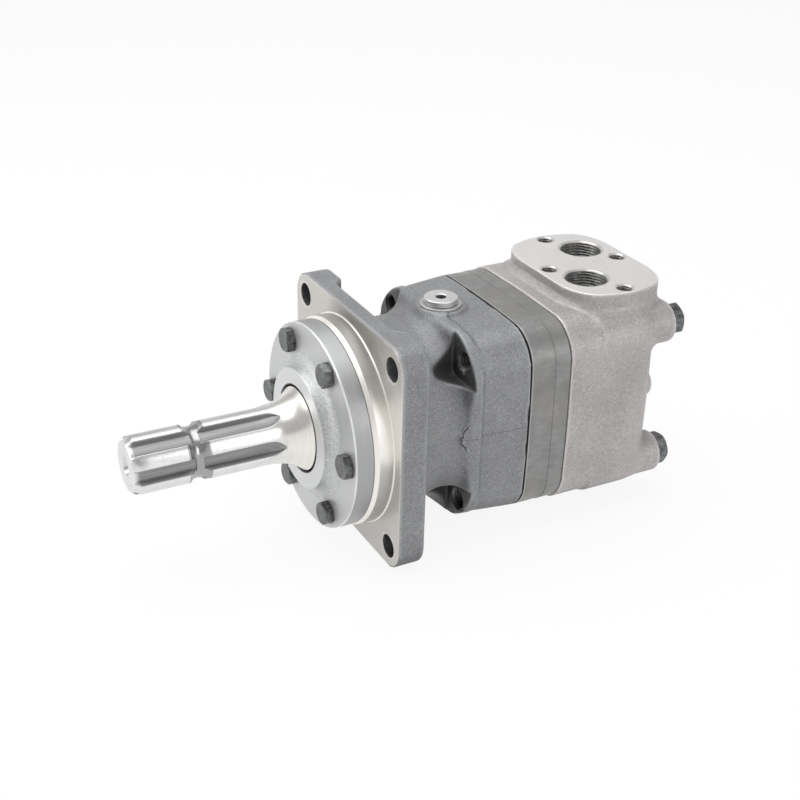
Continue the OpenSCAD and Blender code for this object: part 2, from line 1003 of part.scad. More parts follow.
// A point of the star's outline, for a turn from 0 to 360. The rollers' centres, seen from
// the star, follow a wavy curve round it; the outline lies one roller radius and star_gap
// inside it. The points are crowded into the hollows, where the outline turns most.
function star_point(turn) =
    let (
        lobes = roller_count - 1,
        t = turn - star_crowding * sin(lobes * turn) * 180 / (PI * lobes),
        along = [cos(t), sin(t)],
        wave = [cos(roller_count * t), sin(roller_count * t)],
        centre = roller_pcr * along - orbit_r * wave,
        outward = roller_pcr * along - roller_count * orbit_r * wave
    )
    centre - (roller_d / 2 + star_gap) * outward / norm(outward);

// Star whose lobes roll inside the ring of rollers
module star_wheel() {
    step = 360 / ((roller_count - 1) * star_steps);
    color("lightslategray")
        translate([orbit_r, 0, 0])
            along_y(ring_y + side_gap)
                linear_extrude(gear_w - 2 * side_gap)
                    difference() {
                        polygon([for (turn = [0:step:360 - step / 2]) star_point(turn)]);
                        drive_spline(drive_tip_r, drive_root_r, drive_tooth_w, spline_gap);
                    }
}

// Plate whose slanted channels join the disc valve to the spaces between the rollers
module channel_plate() {
    chamber = [chamber_r, channel_y, 0];
    window = [window_r, rear_y, 0];
    overrun = 0.4 * (window - chamber);
    color("gray")
        difference() {
            stack_plate(channel_y, channel_w, body_w + plate_step);
            rod(channel_y - 1, rear_y + 1, channel_bore_r);
            for (i = [1:roller_count])
                rotate([0, -(i + 0.5) * 360 / roller_count, 0])
                    drill(chamber - overrun, window + overrun, channel_r);
            turned()
                joint_groove(channel_y);
        }
}

// Short drive that turns the disc valve in step with the star
module valve_drive() {
    color("darkgray")
        translate([orbit_r, valve_front_y, 0])
            rotate([0, 0, valve_tilt])
                along_y() {
                    drive_head(valve_front_head_l);
                    cylinder(h = valve_l, r = valve_neck_r);
                    translate([0, 0, valve_l / cos(valve_tilt)])
                        crowned_head(valve_tip_r, valve_root_r, valve_tooth_w,
                                     valve_rear_head_l);
                }
}

// Disc whose slots open in turn to its rim and to its bore
module disc_valve() {
    hub_end_y = disc_y + disc_t + disc_hub_l;
    color("darkkhaki")
        difference() {
            union() {
                rod(disc_y, disc_y + disc_t, disc_r);
                rod(disc_y, hub_end_y, disc_hub_r);
            }
            rod(disc_y - 1, disc_y + disc_t, disc_bore_r);
            along_y(disc_y + disc_t - eps)
                linear_extrude(disc_hub_l + 1)
                    drive_spline(valve_tip_r, valve_root_r, valve_tooth_w, spline_gap);
            for (turn = [0:360 / slot_count:359]) {
                rotate([0, turn, 0])
                    disc_slot(slot_in_r + slot_w / 2, disc_r + 1, slot_in_r + slot_w / 2);
                rotate([0, turn + 180 / slot_count, 0])
                    disc_slot(0, slot_out_r - slot_w / 2, slot_out_r - slot_w / 2);
            }
        }
}

// Slot in the face of the disc between two radii, with a round end at round_r
module disc_slot(r_in, r_out, round_r) {
    along_y(disc_y - 1)
        linear_extrude(slot_depth + 1) {
            translate([r_in, -slot_w / 2])
                square([r_out - r_in, slot_w]);
            translate([round_r, 0])
                circle(d = slot_w);
        }
}

// Plate that the oil presses against the back of the disc valve
module balance_plate() {
    color("gray")
        turned()
            difference() {
                union() {
                    band(plate_bore_r, plate_r, plate_y, plate_end_y);
                    band(plate_bore_r, plate_neck_r, plate_y, plate_neck_end_y);
                }
                for (inset = plate_seal_insets)
                    band(plate_neck_r - groove_depth, plate_neck_r + 1,
                         plate_neck_end_y - inset - groove_w / 2,
                         plate_neck_end_y - inset + groove_w / 2);
            }
}

module balance_seal_rings() {
    color("black")
        for (inset = plate_seal_insets)
            o_ring(plate_neck_r - fit_gap - ring_t / 2, plate_neck_end_y - inset);
}

// Coned disc spring between the balance plate and the end cover
module balance_spring() {
    in_r = plate_neck_r + 1;
    out_r = plate_r - 0.5;
    color("steelblue")
        turned()
            polygon([
                [in_r, plate_end_y], [in_r + spring_t, plate_end_y],
                [out_r, valve_room_end_y], [out_r - spring_t, valve_room_end_y]
            ]);
}

// End cover: body, bolt bosses, check valve bosses and port pad, with its oilways
module end_cover() {
    color("rosybrown")
        difference() {
            union() {
                end_cover_body();
                end_cover_bosses();
                port_pad();
            }
            end_cover_rooms();
            port_holes();
            check_valve_holes();
            at_rear_bolts()
                rod(rear_y - 1, rear_end_y + boss_l + 1, bolt_d / 2 + bolt_play);
        }
}

// Crowned body, rounded where its sides meet the rear face
module end_cover_body() {
    intersection() {
        along_y(rear_y)
            linear_extrude(end_cover_l)
                crowned_square(end_cover_w);
        end_cover_plan();
        rotate([0, 90, 0])
            end_cover_plan();
    }
}

// Plan of the end cover with round rear corners
module end_cover_plan() {
    w = end_cover_w;
    r = cover_edge_r;
    translate([0, rear_y, -w])
        linear_extrude(2 * w) {
            translate([-w / 2, 0])
                square([w, end_cover_l - r]);
            translate([r - w / 2, 0])
                square([w - 2 * r, end_cover_l]);
            for (sx = [-1, 1])
                translate([sx * (w / 2 - r), end_cover_l - r])
                    circle(r = r);
        }
}

// Bosses for the rear bolts and the check valves
module end_cover_bosses() {
    at_rear_bolts()
        rod(rear_end_y - 2 * cover_edge_r, rear_end_y + boss_l, boss_r);
    for (sx = [-1, 1])
        translate([sx * check_x, 0, 0])
            rod(rear_end_y - cover_edge_r, check_boss_end_y, check_boss_r);
}

// Port pad: a disc cut flat at the front and rear, with rounded corners and a gusset
module port_pad() {
    low_z = port_z - port_pad_t;
    foot_y = rear_end_y - cover_edge_r;
    back_y = rear_y + port_y + port_pad_w / 2 - gusset_inset;
    translate([0, rear_y + port_y, low_z])
        linear_extrude(port_pad_t)
            pad_outline();
    translate([-gusset_w / 2, 0, 0])
        rotate([90, 0, 90])
            linear_extrude(gusset_w)
                polygon([
                    [foot_y, low_z + 1], [foot_y, low_z - gusset_foot_h],
                    [rear_end_y - 1, low_z - gusset_back_h],
                    [back_y, low_z - gusset_top_h], [back_y, low_z + 1]
                ]);
}

// Circle cut by two flats, with an arc tangent to both at each corner
module pad_outline() {
    r = port_pad_d / 2;
    corner_y = port_pad_w / 2 - pad_corner_r;
    corner_x = sqrt((r - pad_corner_r) ^ 2 - corner_y ^ 2);
    square([2 * corner_x, port_pad_w], center = true);
    intersection() {
        circle(r = r);
        square([2 * r + 1, 2 * corner_y * r / (r - pad_corner_r)], center = true);
    }
    for (sx = [-1, 1], sy = [-1, 1])
        translate([sx * corner_x, sy * corner_y])
            circle(r = pad_corner_r);
}

// Rooms for the disc valve and the balance plate, and the joint groove
module end_cover_rooms() {
    turned() {
        band(0, valve_room_r, rear_y - 1, valve_room_end_y);
        band(0, plate_neck_r + run_gap, rear_y, rear_room_end_y);
        joint_groove(rear_y - eps);
    }
}

// Threaded ports with their oilways, and the manifold holes
module port_holes() {
    y = rear_y + port_y;
    floor_z = port_z - port_depth;
    for (side = [-1, 1])
        translate([side * port_dx, y - side * port_dy, floor_z]) {
            cylinder(h = port_depth + 1, d = port_d);
            translate([0, 0, port_depth - port_chamfer])
                cylinder(h = port_chamfer + eps, r1 = port_d / 2, r2 = port_d / 2 + port_chamfer);
        }
    drill([port_dx, y - port_dy, floor_z + 2],
          [port_dx, valve_room_end_y - 6, valve_room_r - 14], gallery_r);
    drill([-port_dx, y + port_dy, floor_z + 2],
          [-port_dx / 2, rear_room_end_y - 5, plate_neck_r / 2], gallery_r);
    for (at = [[manifold_dx, 0], [-manifold_dx, 0], [0, manifold_dy], [0, -manifold_dy]])
        translate([at[0], y + at[1], port_z - manifold_depth])
            cylinder(h = manifold_depth + 1, d = manifold_d);
}

// Bores for the check valves, their seats, and the links to the rooms and the drain
module check_valve_holes() {
    for (sx = [-1, 1]) {
        translate([sx * check_x, 0, 0]) {
            rod(check_boss_end_y - check_plug_l, check_boss_end_y + 1, check_plug_r);
            rod(check_seat_y, check_boss_end_y, check_bore_r);
            rod(check_seat_y - 3, check_boss_end_y, check_drill_r);
        }
        drill([sx * check_x, check_seat_y + 6, 0],
              [sx * bolt_xz, check_seat_y + 6, -bolt_xz], drain_link_r);
    }
    drill([check_x, check_seat_y, 0], [check_x, valve_room_end_y - 2, 0], check_drill_r);
    drill([-check_x, check_seat_y - 2, 0],
          [-plate_neck_r + 5, rear_room_end_y - 6, 0], check_drill_r);
}

module joint_seal_rings() {
    color("black") {
        o_ring(joint_ring_r, housing_l - groove_depth / 2);
        o_ring(joint_ring_r, channel_y + groove_depth / 2);
        o_ring(joint_ring_r, rear_y + groove_depth / 2);
    }
}

module rear_bolts() {
    head_y = rear_end_y + boss_l;
    color("dimgray")
        at_rear_bolts()
            along_y(head_y)
                hex_bolt(bolt_af, bolt_head_h, bolt_d, head_y - lug_y - bolt_tip_inset);
}

// Drain plug with a collar and a hexagon socket
module drain_plug() {
    low_z = drain_top_z + drain_washer_t;
    color("gainsboro")
        translate([0, drain_y, low_z])
            difference() {
                union() {
                    cylinder(h = drain_collar_t, r = drain_collar_r);
                    translate([0, 0, drain_washer_t - drain_thread_l])
                        cylinder(h = drain_thread_l, r = drain_d / 2 - fit_gap);
                }
                translate([0, 0, drain_collar_t - drain_socket_l])
                    cylinder(h = drain_socket_l + 1, r = drain_socket_af / sqrt(3), $fn = 6);
            }
}

module drain_washer() {
    color("silver")
        translate([0, drain_y, drain_top_z])
            difference() {
                cylinder(h = drain_washer_t, r = drain_washer_r);
                translate([0, 0, -1])
                    cylinder(h = drain_washer_t + 2, r = drain_d / 2 + fit_gap);
            }
}

module check_ball(side) {
    color("silver")
        translate([side * check_x, check_ball_y, 0])
            sphere(r = check_ball_r);
}

// Socket plugs whose noses limit how far the check balls lift
module check_plugs() {
    nose_y = check_ball_y + check_ball_r + check_lift + fit_gap;
    low_y = check_boss_end_y - check_plug_l + fit_gap;
    top_y = check_boss_end_y + check_plug_rise;
    color("dimgray")
        for (sx = [-1, 1])
            translate([sx * check_x, 0, 0])
                difference() {
                    union() {
                        rod(nose_y, low_y + 1, check_nose_r);
                        rod(low_y, top_y, check_plug_r - fit_gap);
                    }
                    along_y(top_y - check_socket_l)
                        cylinder(h = check_socket_l + 1, r = check_socket_af / sqrt(3), $fn = 6);
                }
}

housing();
front_cover();
cover_bolts();
cover_seal_ring();
dust_seal();
shaft_seal();
output_shaft();
bearing_shim();
front_bearing_cup();
front_bearing_cone();
front_bearing_rollers();
front_bearing_cage();
rear_bearing_cup();
rear_bearing_cone();
rear_bearing_rollers();
rear_bearing_cage();
cardan_shaft();
drive_spacer();
gear_ring();
star_wheel();
gear_roller(1);  // gear_roller_1
gear_roller(2);  // gear_roller_2
gear_roller(3);  // gear_roller_3
gear_roller(4);  // gear_roller_4
gear_roller(5);  // gear_roller_5
gear_roller(6);  // gear_roller_6
gear_roller(7);  // gear_roller_7
gear_roller(8);  // gear_roller_8
gear_roller(9);  // gear_roller_9
channel_plate();
valve_drive();
disc_valve();
balance_plate();
balance_seal_rings();
balance_spring();
end_cover();
joint_seal_rings();
rear_bolts();
drain_plug();
drain_washer();
check_ball(-1);  // check_ball_left
check_ball(1);  // check_ball_right
check_plugs();
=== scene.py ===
"""Looks of an orbital hydraulic motor with a square flange and a splined output shaft.

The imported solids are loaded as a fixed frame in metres. Shapes below are worked out in
millimetres and scaled once, when a mesh is made. The shaft lies along Y and points to -Y.
"""

import json
import math

import bmesh
import bpy
import mathutils.kdtree
import numpy as np
from mathutils import Matrix, Vector


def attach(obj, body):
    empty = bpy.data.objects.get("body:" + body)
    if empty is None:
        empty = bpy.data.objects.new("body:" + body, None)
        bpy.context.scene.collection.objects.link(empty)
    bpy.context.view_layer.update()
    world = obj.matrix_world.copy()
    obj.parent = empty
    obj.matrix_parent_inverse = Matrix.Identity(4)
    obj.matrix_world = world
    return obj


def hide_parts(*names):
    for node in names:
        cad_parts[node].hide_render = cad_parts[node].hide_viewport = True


bl_info = {
    "name": "Orbital motor looks",
    "version": (1, 0, 0),
    "blender": (4, 5, 0),
    "location": "3D View > Sidebar > Orbital motor",
    "description": "Castings, turned parts, bolts, materials and studio of an orbital motor",
    "category": "Object",
}

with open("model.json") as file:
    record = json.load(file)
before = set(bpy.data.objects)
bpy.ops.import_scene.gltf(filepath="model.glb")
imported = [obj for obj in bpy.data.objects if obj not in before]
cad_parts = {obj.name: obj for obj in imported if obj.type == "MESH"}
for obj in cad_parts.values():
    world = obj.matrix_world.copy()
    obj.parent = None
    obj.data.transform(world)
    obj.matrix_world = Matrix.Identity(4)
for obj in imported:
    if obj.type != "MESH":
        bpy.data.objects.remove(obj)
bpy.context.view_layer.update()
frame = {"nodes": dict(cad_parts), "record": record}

MM = 0.001
ROOT = "motor_body"

# Stations along the shaft, in millimetres
RING_Y, CHANNEL_Y, REAR_Y, REAR_END_Y = 88.6, 105.1, 115.6, 180.6
COVER_Y, BOSS_Y, SPIGOT_Y = -23.3, -31.1, -11.8
PORT_Y, PORT_Z = 161.4, 71.0
LUG_Y, BOLT_XZ, BOLT_BOSS_H = 52.0, 45.0, 11.4
DRAIN_Y, DRAIN_Z = 61.3, 61.5
CHECK_X, CHECK_Y = 35.0, 190.2

# Signs of the four corners, and places of holes about their centre
CORNERS = ((-1, -1), (-1, 1), (1, -1), (1, 1))
FLANGE_HOLE_XZ, COVER_BOLT_R = 56.57, 51.5
PORTS = ((-20.6, 12.0), (20.6, -12.0))
MANIFOLD_HOLES = ((42.95, 0), (-42.95, 0), (0, 24.95), (0, -24.95))

# Roller pockets of the gear ring, teeth of the shaft, corners and sides of the square outline
ROLLERS, ROLLER_CIRCLE_R, ROLLER_POCKET_R = 9, 40, 9.05
TEETH = 6
CORNER_R, SIDE_R = 20.0, 840.0

# Columns of points round bolt shanks, small and middle pieces, turned ones and square plates
SHANK_ROUND, SMALL_ROUND, MIDDLE_ROUND, TURNED_ROUND, PLATE_ROUND = 48, 96, 128, 288, 720

# Camera fitted to the photograph: azimuth, elevation and roll in degrees, place in metres
CAMERA_TURNS = (61.697, 27.569, 1.477)
CAMERA_PLACE = (0.64759, -0.31287, 0.38762)
FLOOR_Z = -70.6


# Distance functions. Each takes arrays of coordinates in millimetres and is negative inside.

def round_max(a, b, radius):
    """Both shapes: the larger distance, with the edge between them rounded by the radius."""
    corner = np.hypot(np.maximum(a + radius, 0), np.maximum(b + radius, 0))
    return np.minimum(np.maximum(a, b), -radius) + corner


def round_min(a, b, radius):
    """Either shape: the smaller distance, with a fillet of the radius between them."""
    return -round_max(-a, -b, radius)


def cut(a, b, radius):
    """The first shape without the second, its new edge rounded by the radius."""
    return round_max(a, -b, radius)


def rounded_square(u, v, half_u, half_v, radius):
    """Rectangle with round corners: the length of what exceeds the inner rectangle."""
    du, dv = np.abs(u) - half_u + radius, np.abs(v) - half_v + radius
    outside = np.hypot(np.maximum(du, 0), np.maximum(dv, 0))
    return outside + np.minimum(np.maximum(du, dv), 0) - radius


def crowned(x, z, half):
    """Rounded square whose sides bulge: each side is moved in by the square over 2 R."""
    bulge_x, bulge_z = z * z / (2 * SIDE_R), x * x / (2 * SIDE_R)
    return rounded_square(np.abs(x) + bulge_x, np.abs(z) + bulge_z, half, half, CORNER_R)


def corner_rounds(x, z, apart, radius):
    """Four round bars or holes along Y at the corners of a square."""
    return np.hypot(np.abs(x) - apart, np.abs(z) - apart) - radius


def slab(t, low, high):
    """Space between two planes."""
    return np.maximum(low - t, t - high)


def smoothstep(t):
    t = np.clip(t, 0, 1)
    return t * t * (3 - 2 * t)


def pocket_field(x, y, z):
    """Room before the four bolt lugs, at each corner where two rounded slots cross."""
    slots = [rounded_square(np.abs(t) - 93.5, y - 58, 60.5, 32, 24) for t in (x, z)]
    return round_max(round_max(*slots, 5.0), y - LUG_Y, 0.8)


def housing_outside(x, y, z):
    """Flange, neck and square body of the housing, with the seam of the mould and the boss."""
    r = np.hypot(x, z)
    back = 11 + 6 * smoothstep((np.abs(x) - 35) / 8)
    flange = round_max(rounded_square(x, z, 70, 70, 15), y - back, 2.2)
    flange = round_max(flange, -y, 0.7)
    hollow = 14.5 - np.hypot(r - 70, y - 37.5)
    neck = np.where(y > 37.5, np.maximum(r - 70, hollow), r - 55.5)
    neck = round_max(neck, crowned(x, z, 60.5), 2.0)
    neck = np.maximum(neck, slab(y, 0.7, LUG_Y + 4))
    half = 60.5 - 2.5 * (RING_Y - y) / (RING_Y - LUG_Y)
    turned = r - 73 - 5 * np.clip((y - LUG_Y) / 23, 0, 1)
    body = round_max(crowned(x, z, half), turned, 4.0)
    body = round_max(body, LUG_Y - y, 2.0)
    solid = round_min(round_min(neck, body, 5.0), flange, 4.5)
    seam = np.exp(-((z - 3) / 1.1) ** 2) * smoothstep((np.abs(x) - 35) / 6)
    solid = solid - 0.35 * seam * smoothstep((y - 18) / 4) * smoothstep((86 - y) / 3)
    boss = round_max(np.hypot(x, y - DRAIN_Y) - 14, z - DRAIN_Z, 1.0)
    return round_min(solid, np.maximum(boss, 45 - z), 4.0)


def housing_field(x, y, z):
    """Housing, less the pockets, the bolt holes, the drain and the bore."""
    solid = cut(housing_outside(x, y, z), pocket_field(x, y, z), 1.6)
    solid = round_max(solid, y - RING_Y, 0.6)
    hole = corner_rounds(x, z, FLANGE_HOLE_XZ, 7)
    solid = cut(solid, np.maximum(hole, y - 30), 0.6)
    lug_hole = corner_rounds(x, z, BOLT_XZ, 6.7)
    solid = cut(solid, np.maximum(lug_hole, 40 - y), 0.3)
    drain = np.maximum(np.hypot(x, y - DRAIN_Y) - 6.6, 20 - z)
    solid = cut(solid, drain, 0.4)
    r = np.hypot(x, z)
    bore = np.where(y < 19.9, r - 40, np.where(y < 55.9, r - 37.5, r - 33))
    bore = np.minimum(np.maximum(bore, y - 67.9), r - 21)
    return cut(solid, bore, 0.3)


def pad_outline(x, y):
    """Port pad seen from above: a disc cut by two flats, with its corners rounded."""
    return round_max(np.hypot(x, y - PORT_Y) - 50, np.abs(y - PORT_Y) - 33, 12.0)


def end_cover_outside(x, y, z):
    """Body of the end cover with its bolt bosses, check valve bosses, gusset and port pad."""
    ax = np.abs(x)
    body = round_max(crowned(x, z, 61.5), y - REAR_END_Y, 16.0)
    boss = corner_rounds(x, z, BOLT_XZ, 13)
    boss = round_max(boss, y - REAR_END_Y - BOLT_BOSS_H, 1.2)
    solid = round_min(body, np.maximum(boss, 140 - y), 5.0)
    check = np.hypot(ax - CHECK_X, z) - 9
    check = np.maximum(round_max(check, y - CHECK_Y, 1.4), 160 - y)
    solid = round_min(solid, check, 4.0)
    gusset = 0.803 * (y - 183.5) - 0.596 * (z - 44.5)
    gusset = round_max(round_max(gusset, ax - 31, 5.0), y - 191, 3.0)
    gusset = np.maximum(gusset, np.maximum(150 - y, np.maximum(z - 62, 24 - z)))
    solid = round_min(solid, gusset, 6.0)
    pad = round_max(pad_outline(x, y), z - PORT_Z, 0.7)
    return round_min(solid, np.maximum(pad, 57.5 - z), 5.0)


def end_cover_field(x, y, z):
    """End cover, less the ports, the holes of the port pad, the bolt holes and the rooms."""
    solid = round_max(end_cover_outside(x, y, z), REAR_Y - y, 0.6)
    for holes, radius, floor in ((PORTS, 13.9, 54), (MANIFOLD_HOLES, 5.4, 58)):
        for hx, hy in holes:
            hole = np.hypot(x - hx, y - PORT_Y - hy) - radius
            solid = cut(solid, np.maximum(hole, floor - z), 0.3)
    solid = cut(solid, corner_rounds(x, z, BOLT_XZ, 6.5), 0.3)
    plug = np.maximum(np.hypot(np.abs(x) - CHECK_X, z) - 5.6, 172 - y)
    solid = cut(solid, plug, 0.3)
    r = np.hypot(x, z)
    room = np.minimum(np.maximum(r - 41, y - 139), np.maximum(r - 28, y - 150.7))
    return cut(solid, room, 0.4)


# Mesh makers

def add_to_scene(name, data):
    obj = bpy.data.objects.new(name, data)
    bpy.context.scene.collection.objects.link(obj)
    return obj


def make_object(name, verts, faces, smooth_angle=32.0, outward=True):
    """New object from points in millimetres and faces; sharp edges follow the angle."""
    mesh = bpy.data.meshes.new(name)
    mesh.from_pydata((np.asarray(verts, dtype=float) * MM).tolist(), [], faces)
    mesh.update()
    if outward:
        work = bmesh.new()
        work.from_mesh(mesh)
        bmesh.ops.remove_doubles(work, verts=work.verts, dist=1e-7)
        bmesh.ops.recalc_face_normals(work, faces=work.faces)
        work.to_mesh(mesh)
        work.free()
    mesh.polygons.foreach_set("use_smooth", [True] * len(mesh.polygons))
    if smooth_angle:
        mesh.set_sharp_from_angle(angle=math.radians(smooth_angle))
    return add_to_scene(name, mesh)


def level_surface(name, field, low, high, step):
    """Closed surface where a distance function is zero, from a grid of cells.

    Each cell that the surface crosses gets one point. It is moved down the gradient by
    distance over slope, four times.
    """
    axes = [np.arange(a, b + step, step) for a, b in zip(low, high)]
    grid = np.meshgrid(*axes, indexing="ij", sparse=True)
    values = np.broadcast_to(field(*grid), [len(a) for a in axes]).astype(np.float64)
    total, place = cell_crossings(values)
    used = tuple(np.argwhere(total > 0).T)
    index = -np.ones(total.shape, dtype=np.int64)
    index[used] = np.arange(len(used[0]))
    local = place[used] / total[used][:, None]
    middle = np.array(low) + (np.stack(used, axis=1) + local) * step
    points = middle
    for _ in range(4):
        slope = gradient(field, points)
        length = np.maximum((slope ** 2).sum(1), 0.05)
        points = points - slope * (field(*points.T) / length)[:, None]
        points = np.clip(points, middle - 0.7 * step, middle + 0.7 * step)
    normals = gradient(field, points, 0.2)
    normals /= np.maximum(np.linalg.norm(normals, axis=1, keepdims=True), 1e-9)
    return quad_object(name, points, cell_faces(values, index), normals)


def cell_crossings(values):
    """How many edges of each cell the surface crosses, and the sum of the crossings."""
    cells = [n - 1 for n in values.shape]
    total, place = np.zeros(cells), np.zeros(cells + [3])
    for axis in range(3):
        others = [a for a in range(3) if a != axis]
        a, b = edge_ends(values, axis)
        crossed = (a < 0) != (b < 0)
        share = np.where(crossed, a / np.where(crossed, a - b, 1), 0)
        for sides in ((0, 0), (0, 1), (1, 0), (1, 1)):
            pick = [slice(None)] * 3
            for other, side in zip(others, sides):
                pick[other] = slice(side, cells[other] + side)
            hit = crossed[tuple(pick)]
            total += hit
            place[..., axis] += share[tuple(pick)] * hit
            for other, side in zip(others, sides):
                place[..., other] += side * hit
    return total, place


def cell_faces(values, index):
    """Four-sided face of the cells round each grid edge that the surface crosses."""
    faces = []
    for axis, (u, v) in enumerate(((1, 2), (2, 0), (0, 1))):
        a, b = edge_ends(values, axis)
        for flip in (False, True):
            at = np.argwhere((a >= 0) & (b < 0) if flip else (a < 0) & (b >= 0))
            at = at[(at[:, u] > 0) & (at[:, v] > 0)]
            at = at[(at[:, u] < index.shape[u]) & (at[:, v] < index.shape[v])]
            ring = []
            for du, dv in ((-1, -1), (0, -1), (0, 0), (-1, 0)):
                cell = at.copy()
                cell[:, u] += du
                cell[:, v] += dv
                ring.append(index[tuple(cell.T)])
            quad = np.stack(ring[::-1] if flip else ring, axis=1)
            faces.append(quad[(quad >= 0).all(1)])
    return np.concatenate(faces)


def quad_object(name, points, faces, normals):
    """Object from points in millimetres, four-sided faces and a normal for each point."""
    mesh = bpy.data.meshes.new(name)
    mesh.vertices.add(len(points))
    mesh.vertices.foreach_set("co", (points * MM).ravel())
    mesh.loops.add(faces.size)
    mesh.loops.foreach_set("vertex_index", faces.ravel())
    mesh.polygons.add(len(faces))
    mesh.polygons.foreach_set("loop_start", np.arange(0, faces.size, 4))
    mesh.polygons.foreach_set("use_smooth", np.ones(len(faces), dtype=bool))
    mesh.update(calc_edges=True)
    mesh.validate()
    mesh.normals_split_custom_set_from_vertices(normals.tolist())
    return add_to_scene(name, mesh)


def edge_ends(values, axis):
    """Values at the two ends of each grid edge along an axis."""
    count = values.shape[axis]
    return values.take(range(count - 1), axis), values.take(range(1, count), axis)


def gradient(field, points, h=0.05):
    """Slope of a distance function: its change over a short way along each axis."""
    out = np.empty_like(points)
    for axis in range(3):
        shift = np.zeros(3)
        shift[axis] = h
        out[:, axis] = (field(*(points + shift).T) - field(*(points - shift).T)) / (2 * h)
    return out


def angles(columns):
    return np.linspace(0, 2 * np.pi, columns, endpoint=False)


def around(r, y, t):
    """Point (r cos t, y, r sin t) for each radius, station and angle."""
    r, y, t = np.broadcast_arrays(r, y, t)
    return np.stack([r * np.cos(t), y, r * np.sin(t)], axis=-1)


def rounded_profile(points):
    """Profile (radius, station, corner radius) with an arc tangent to both sides of a corner.

    A point a little way before and after each arc keeps the shading of the sides flat.
    """
    out = []
    n = len(points)
    for i, (r, y, fillet) in enumerate(points):
        here = np.array([r, y], dtype=float)
        before = np.array(points[i - 1][:2], dtype=float) - here
        after = np.array(points[(i + 1) % n][:2], dtype=float) - here
        if fillet <= 0:
            out.append(here)
            continue
        lb, la = np.linalg.norm(before), np.linalg.norm(after)
        before, after = before / lb, after / la
        half = math.acos(np.clip(before @ after, -1, 1)) / 2
        back = min(fillet / math.tan(half), 0.49 * lb, 0.49 * la)
        radius = back * math.tan(half)
        middle = before + after
        middle = here + middle / np.linalg.norm(middle) * radius / math.sin(half)
        a, b = here + before * back - middle, here + after * back - middle
        turn = math.acos(np.clip(a @ b / radius ** 2, -1, 1))
        if lb > 3 * back:
            out.append(here + before * back * 1.3)
        for t in np.linspace(0, 1, 6):
            w = (np.sin((1 - t) * turn) * a + np.sin(t * turn) * b) / math.sin(turn)
            out.append(middle + w)
        if la > 3 * back:
            out.append(here + after * back * 1.3)
    return np.array(out)


def grid_faces(rows, columns, close_rows):
    """Four-sided faces of a grid of points that is closed round its columns."""
    i = np.arange(rows if close_rows else rows - 1)[:, None]
    j = np.arange(columns)[None, :]
    a, b = i * columns + j, i * columns + (j + 1) % columns
    k = (i + 1) % rows
    c, d = k * columns + (j + 1) % columns, k * columns + j
    return np.stack([a, b, c, d], axis=-1).reshape(-1, 4)


def grid_object(name, points, close_rows=False, smooth_angle=32.0):
    """Object from rows of points; open ends get flat caps."""
    return make_object(name, *stacked([points], close_rows), smooth_angle)


def lathe_points(profile, columns):
    """Rows of a surface of revolution about Y from profile points (radius, station)."""
    return around(profile[:, :1], profile[:, 1:], angles(columns))


def lathe(name, corners):
    """Closed surface of revolution about Y from corners (radius, station, corner radius)."""
    points = lathe_points(rounded_profile(corners), TURNED_ROUND)
    return grid_object(name, points, close_rows=True)


def stacked(groups, close_rows=False):
    """Points and faces of several grids as one list each, open ends capped."""
    verts, faces, start = [], [], 0
    for points in groups:
        rows, columns = points.shape[:2]
        quads = grid_faces(rows, columns, close_rows) + start
        faces += quads.tolist()
        if not close_rows:
            faces.append(list(range(start, start + columns)))
            last = start + (rows - 1) * columns
            faces.append(list(range(last, last + columns)))
        verts.append(points.reshape(-1, 3))
        start += rows * columns
    return np.concatenate(verts), faces


# Shapes of the turned, milled and threaded pieces

def hex_radius(t, half_flat):
    """Distance from the centre of a hexagon to its side in the direction t."""
    return half_flat / np.cos((t + np.pi / 6) % (np.pi / 3) - np.pi / 6)


def hex_head_points(across, height, washer):
    """Rows up a hexagon head: the hexagon's radius, cut by a washer face and a chamfer cone."""
    half, corner, flat = across / 2, 1.155, 0.93
    t = angles(SMALL_ROUND)
    hexagon = np.minimum(hex_radius(t, half), half * 1.145)
    drop = (corner - flat) * half * math.tan(math.radians(30))
    rows = [(0.0, 0.96 * half), (washer, 0.97 * half), (washer, half * corner)]
    for part in np.linspace(0, 1, 9):
        rows.append((height - drop * (1 - part), (corner - (corner - flat) * part) * half))
    rows += [(height, 0.9 * half), (height - 0.15, 0.86 * half)]
    return np.array([around(np.minimum(hexagon, limit), y, t) for y, limit in rows])


def socket_plug_points(radius, top, depth, half_flat, socket):
    """Rows of a threaded plug that stands proud by top, with a hexagon socket in its end."""
    t = angles(SMALL_ROUND)
    rows = [(-depth, radius - 0.8), (-depth + 0.8, radius), (top - 0.5, radius),
            (top - 0.15, radius - 0.15), (top, radius - 0.5), (top, half_flat * 1.25),
            (top - 0.3, half_flat * 1.15)]
    hexagon = np.minimum(hex_radius(t, half_flat), half_flat * 1.15)
    rows += [(top - 0.35, hexagon), (top - socket, hexagon)]
    return np.array([around(r, y, t) for y, r in rows])


def turn_about_y(points, degrees):
    c, s = math.cos(math.radians(degrees)), math.sin(math.radians(degrees))
    x, y, z = points[..., 0], points[..., 1], points[..., 2]
    return np.stack([c * x + s * z, y, c * z - s * x], axis=-1)


def shank_points(radius, low, high, pitch):
    """Threaded rod: radius less a V of the depth 0.6 pitch that climbs one pitch a turn."""
    steps = max(int((high - low) / pitch * 6), 4)
    y = np.linspace(low, high, steps)[:, None]
    t = angles(SHANK_ROUND)
    wave = np.abs(((y / pitch - t / (2 * np.pi)) % 1) * 2 - 1)
    r = radius - 0.55 * pitch * wave
    r = np.minimum(r, radius - 1.2 + np.minimum(y - low, 1.2))
    return around(r, y, t)


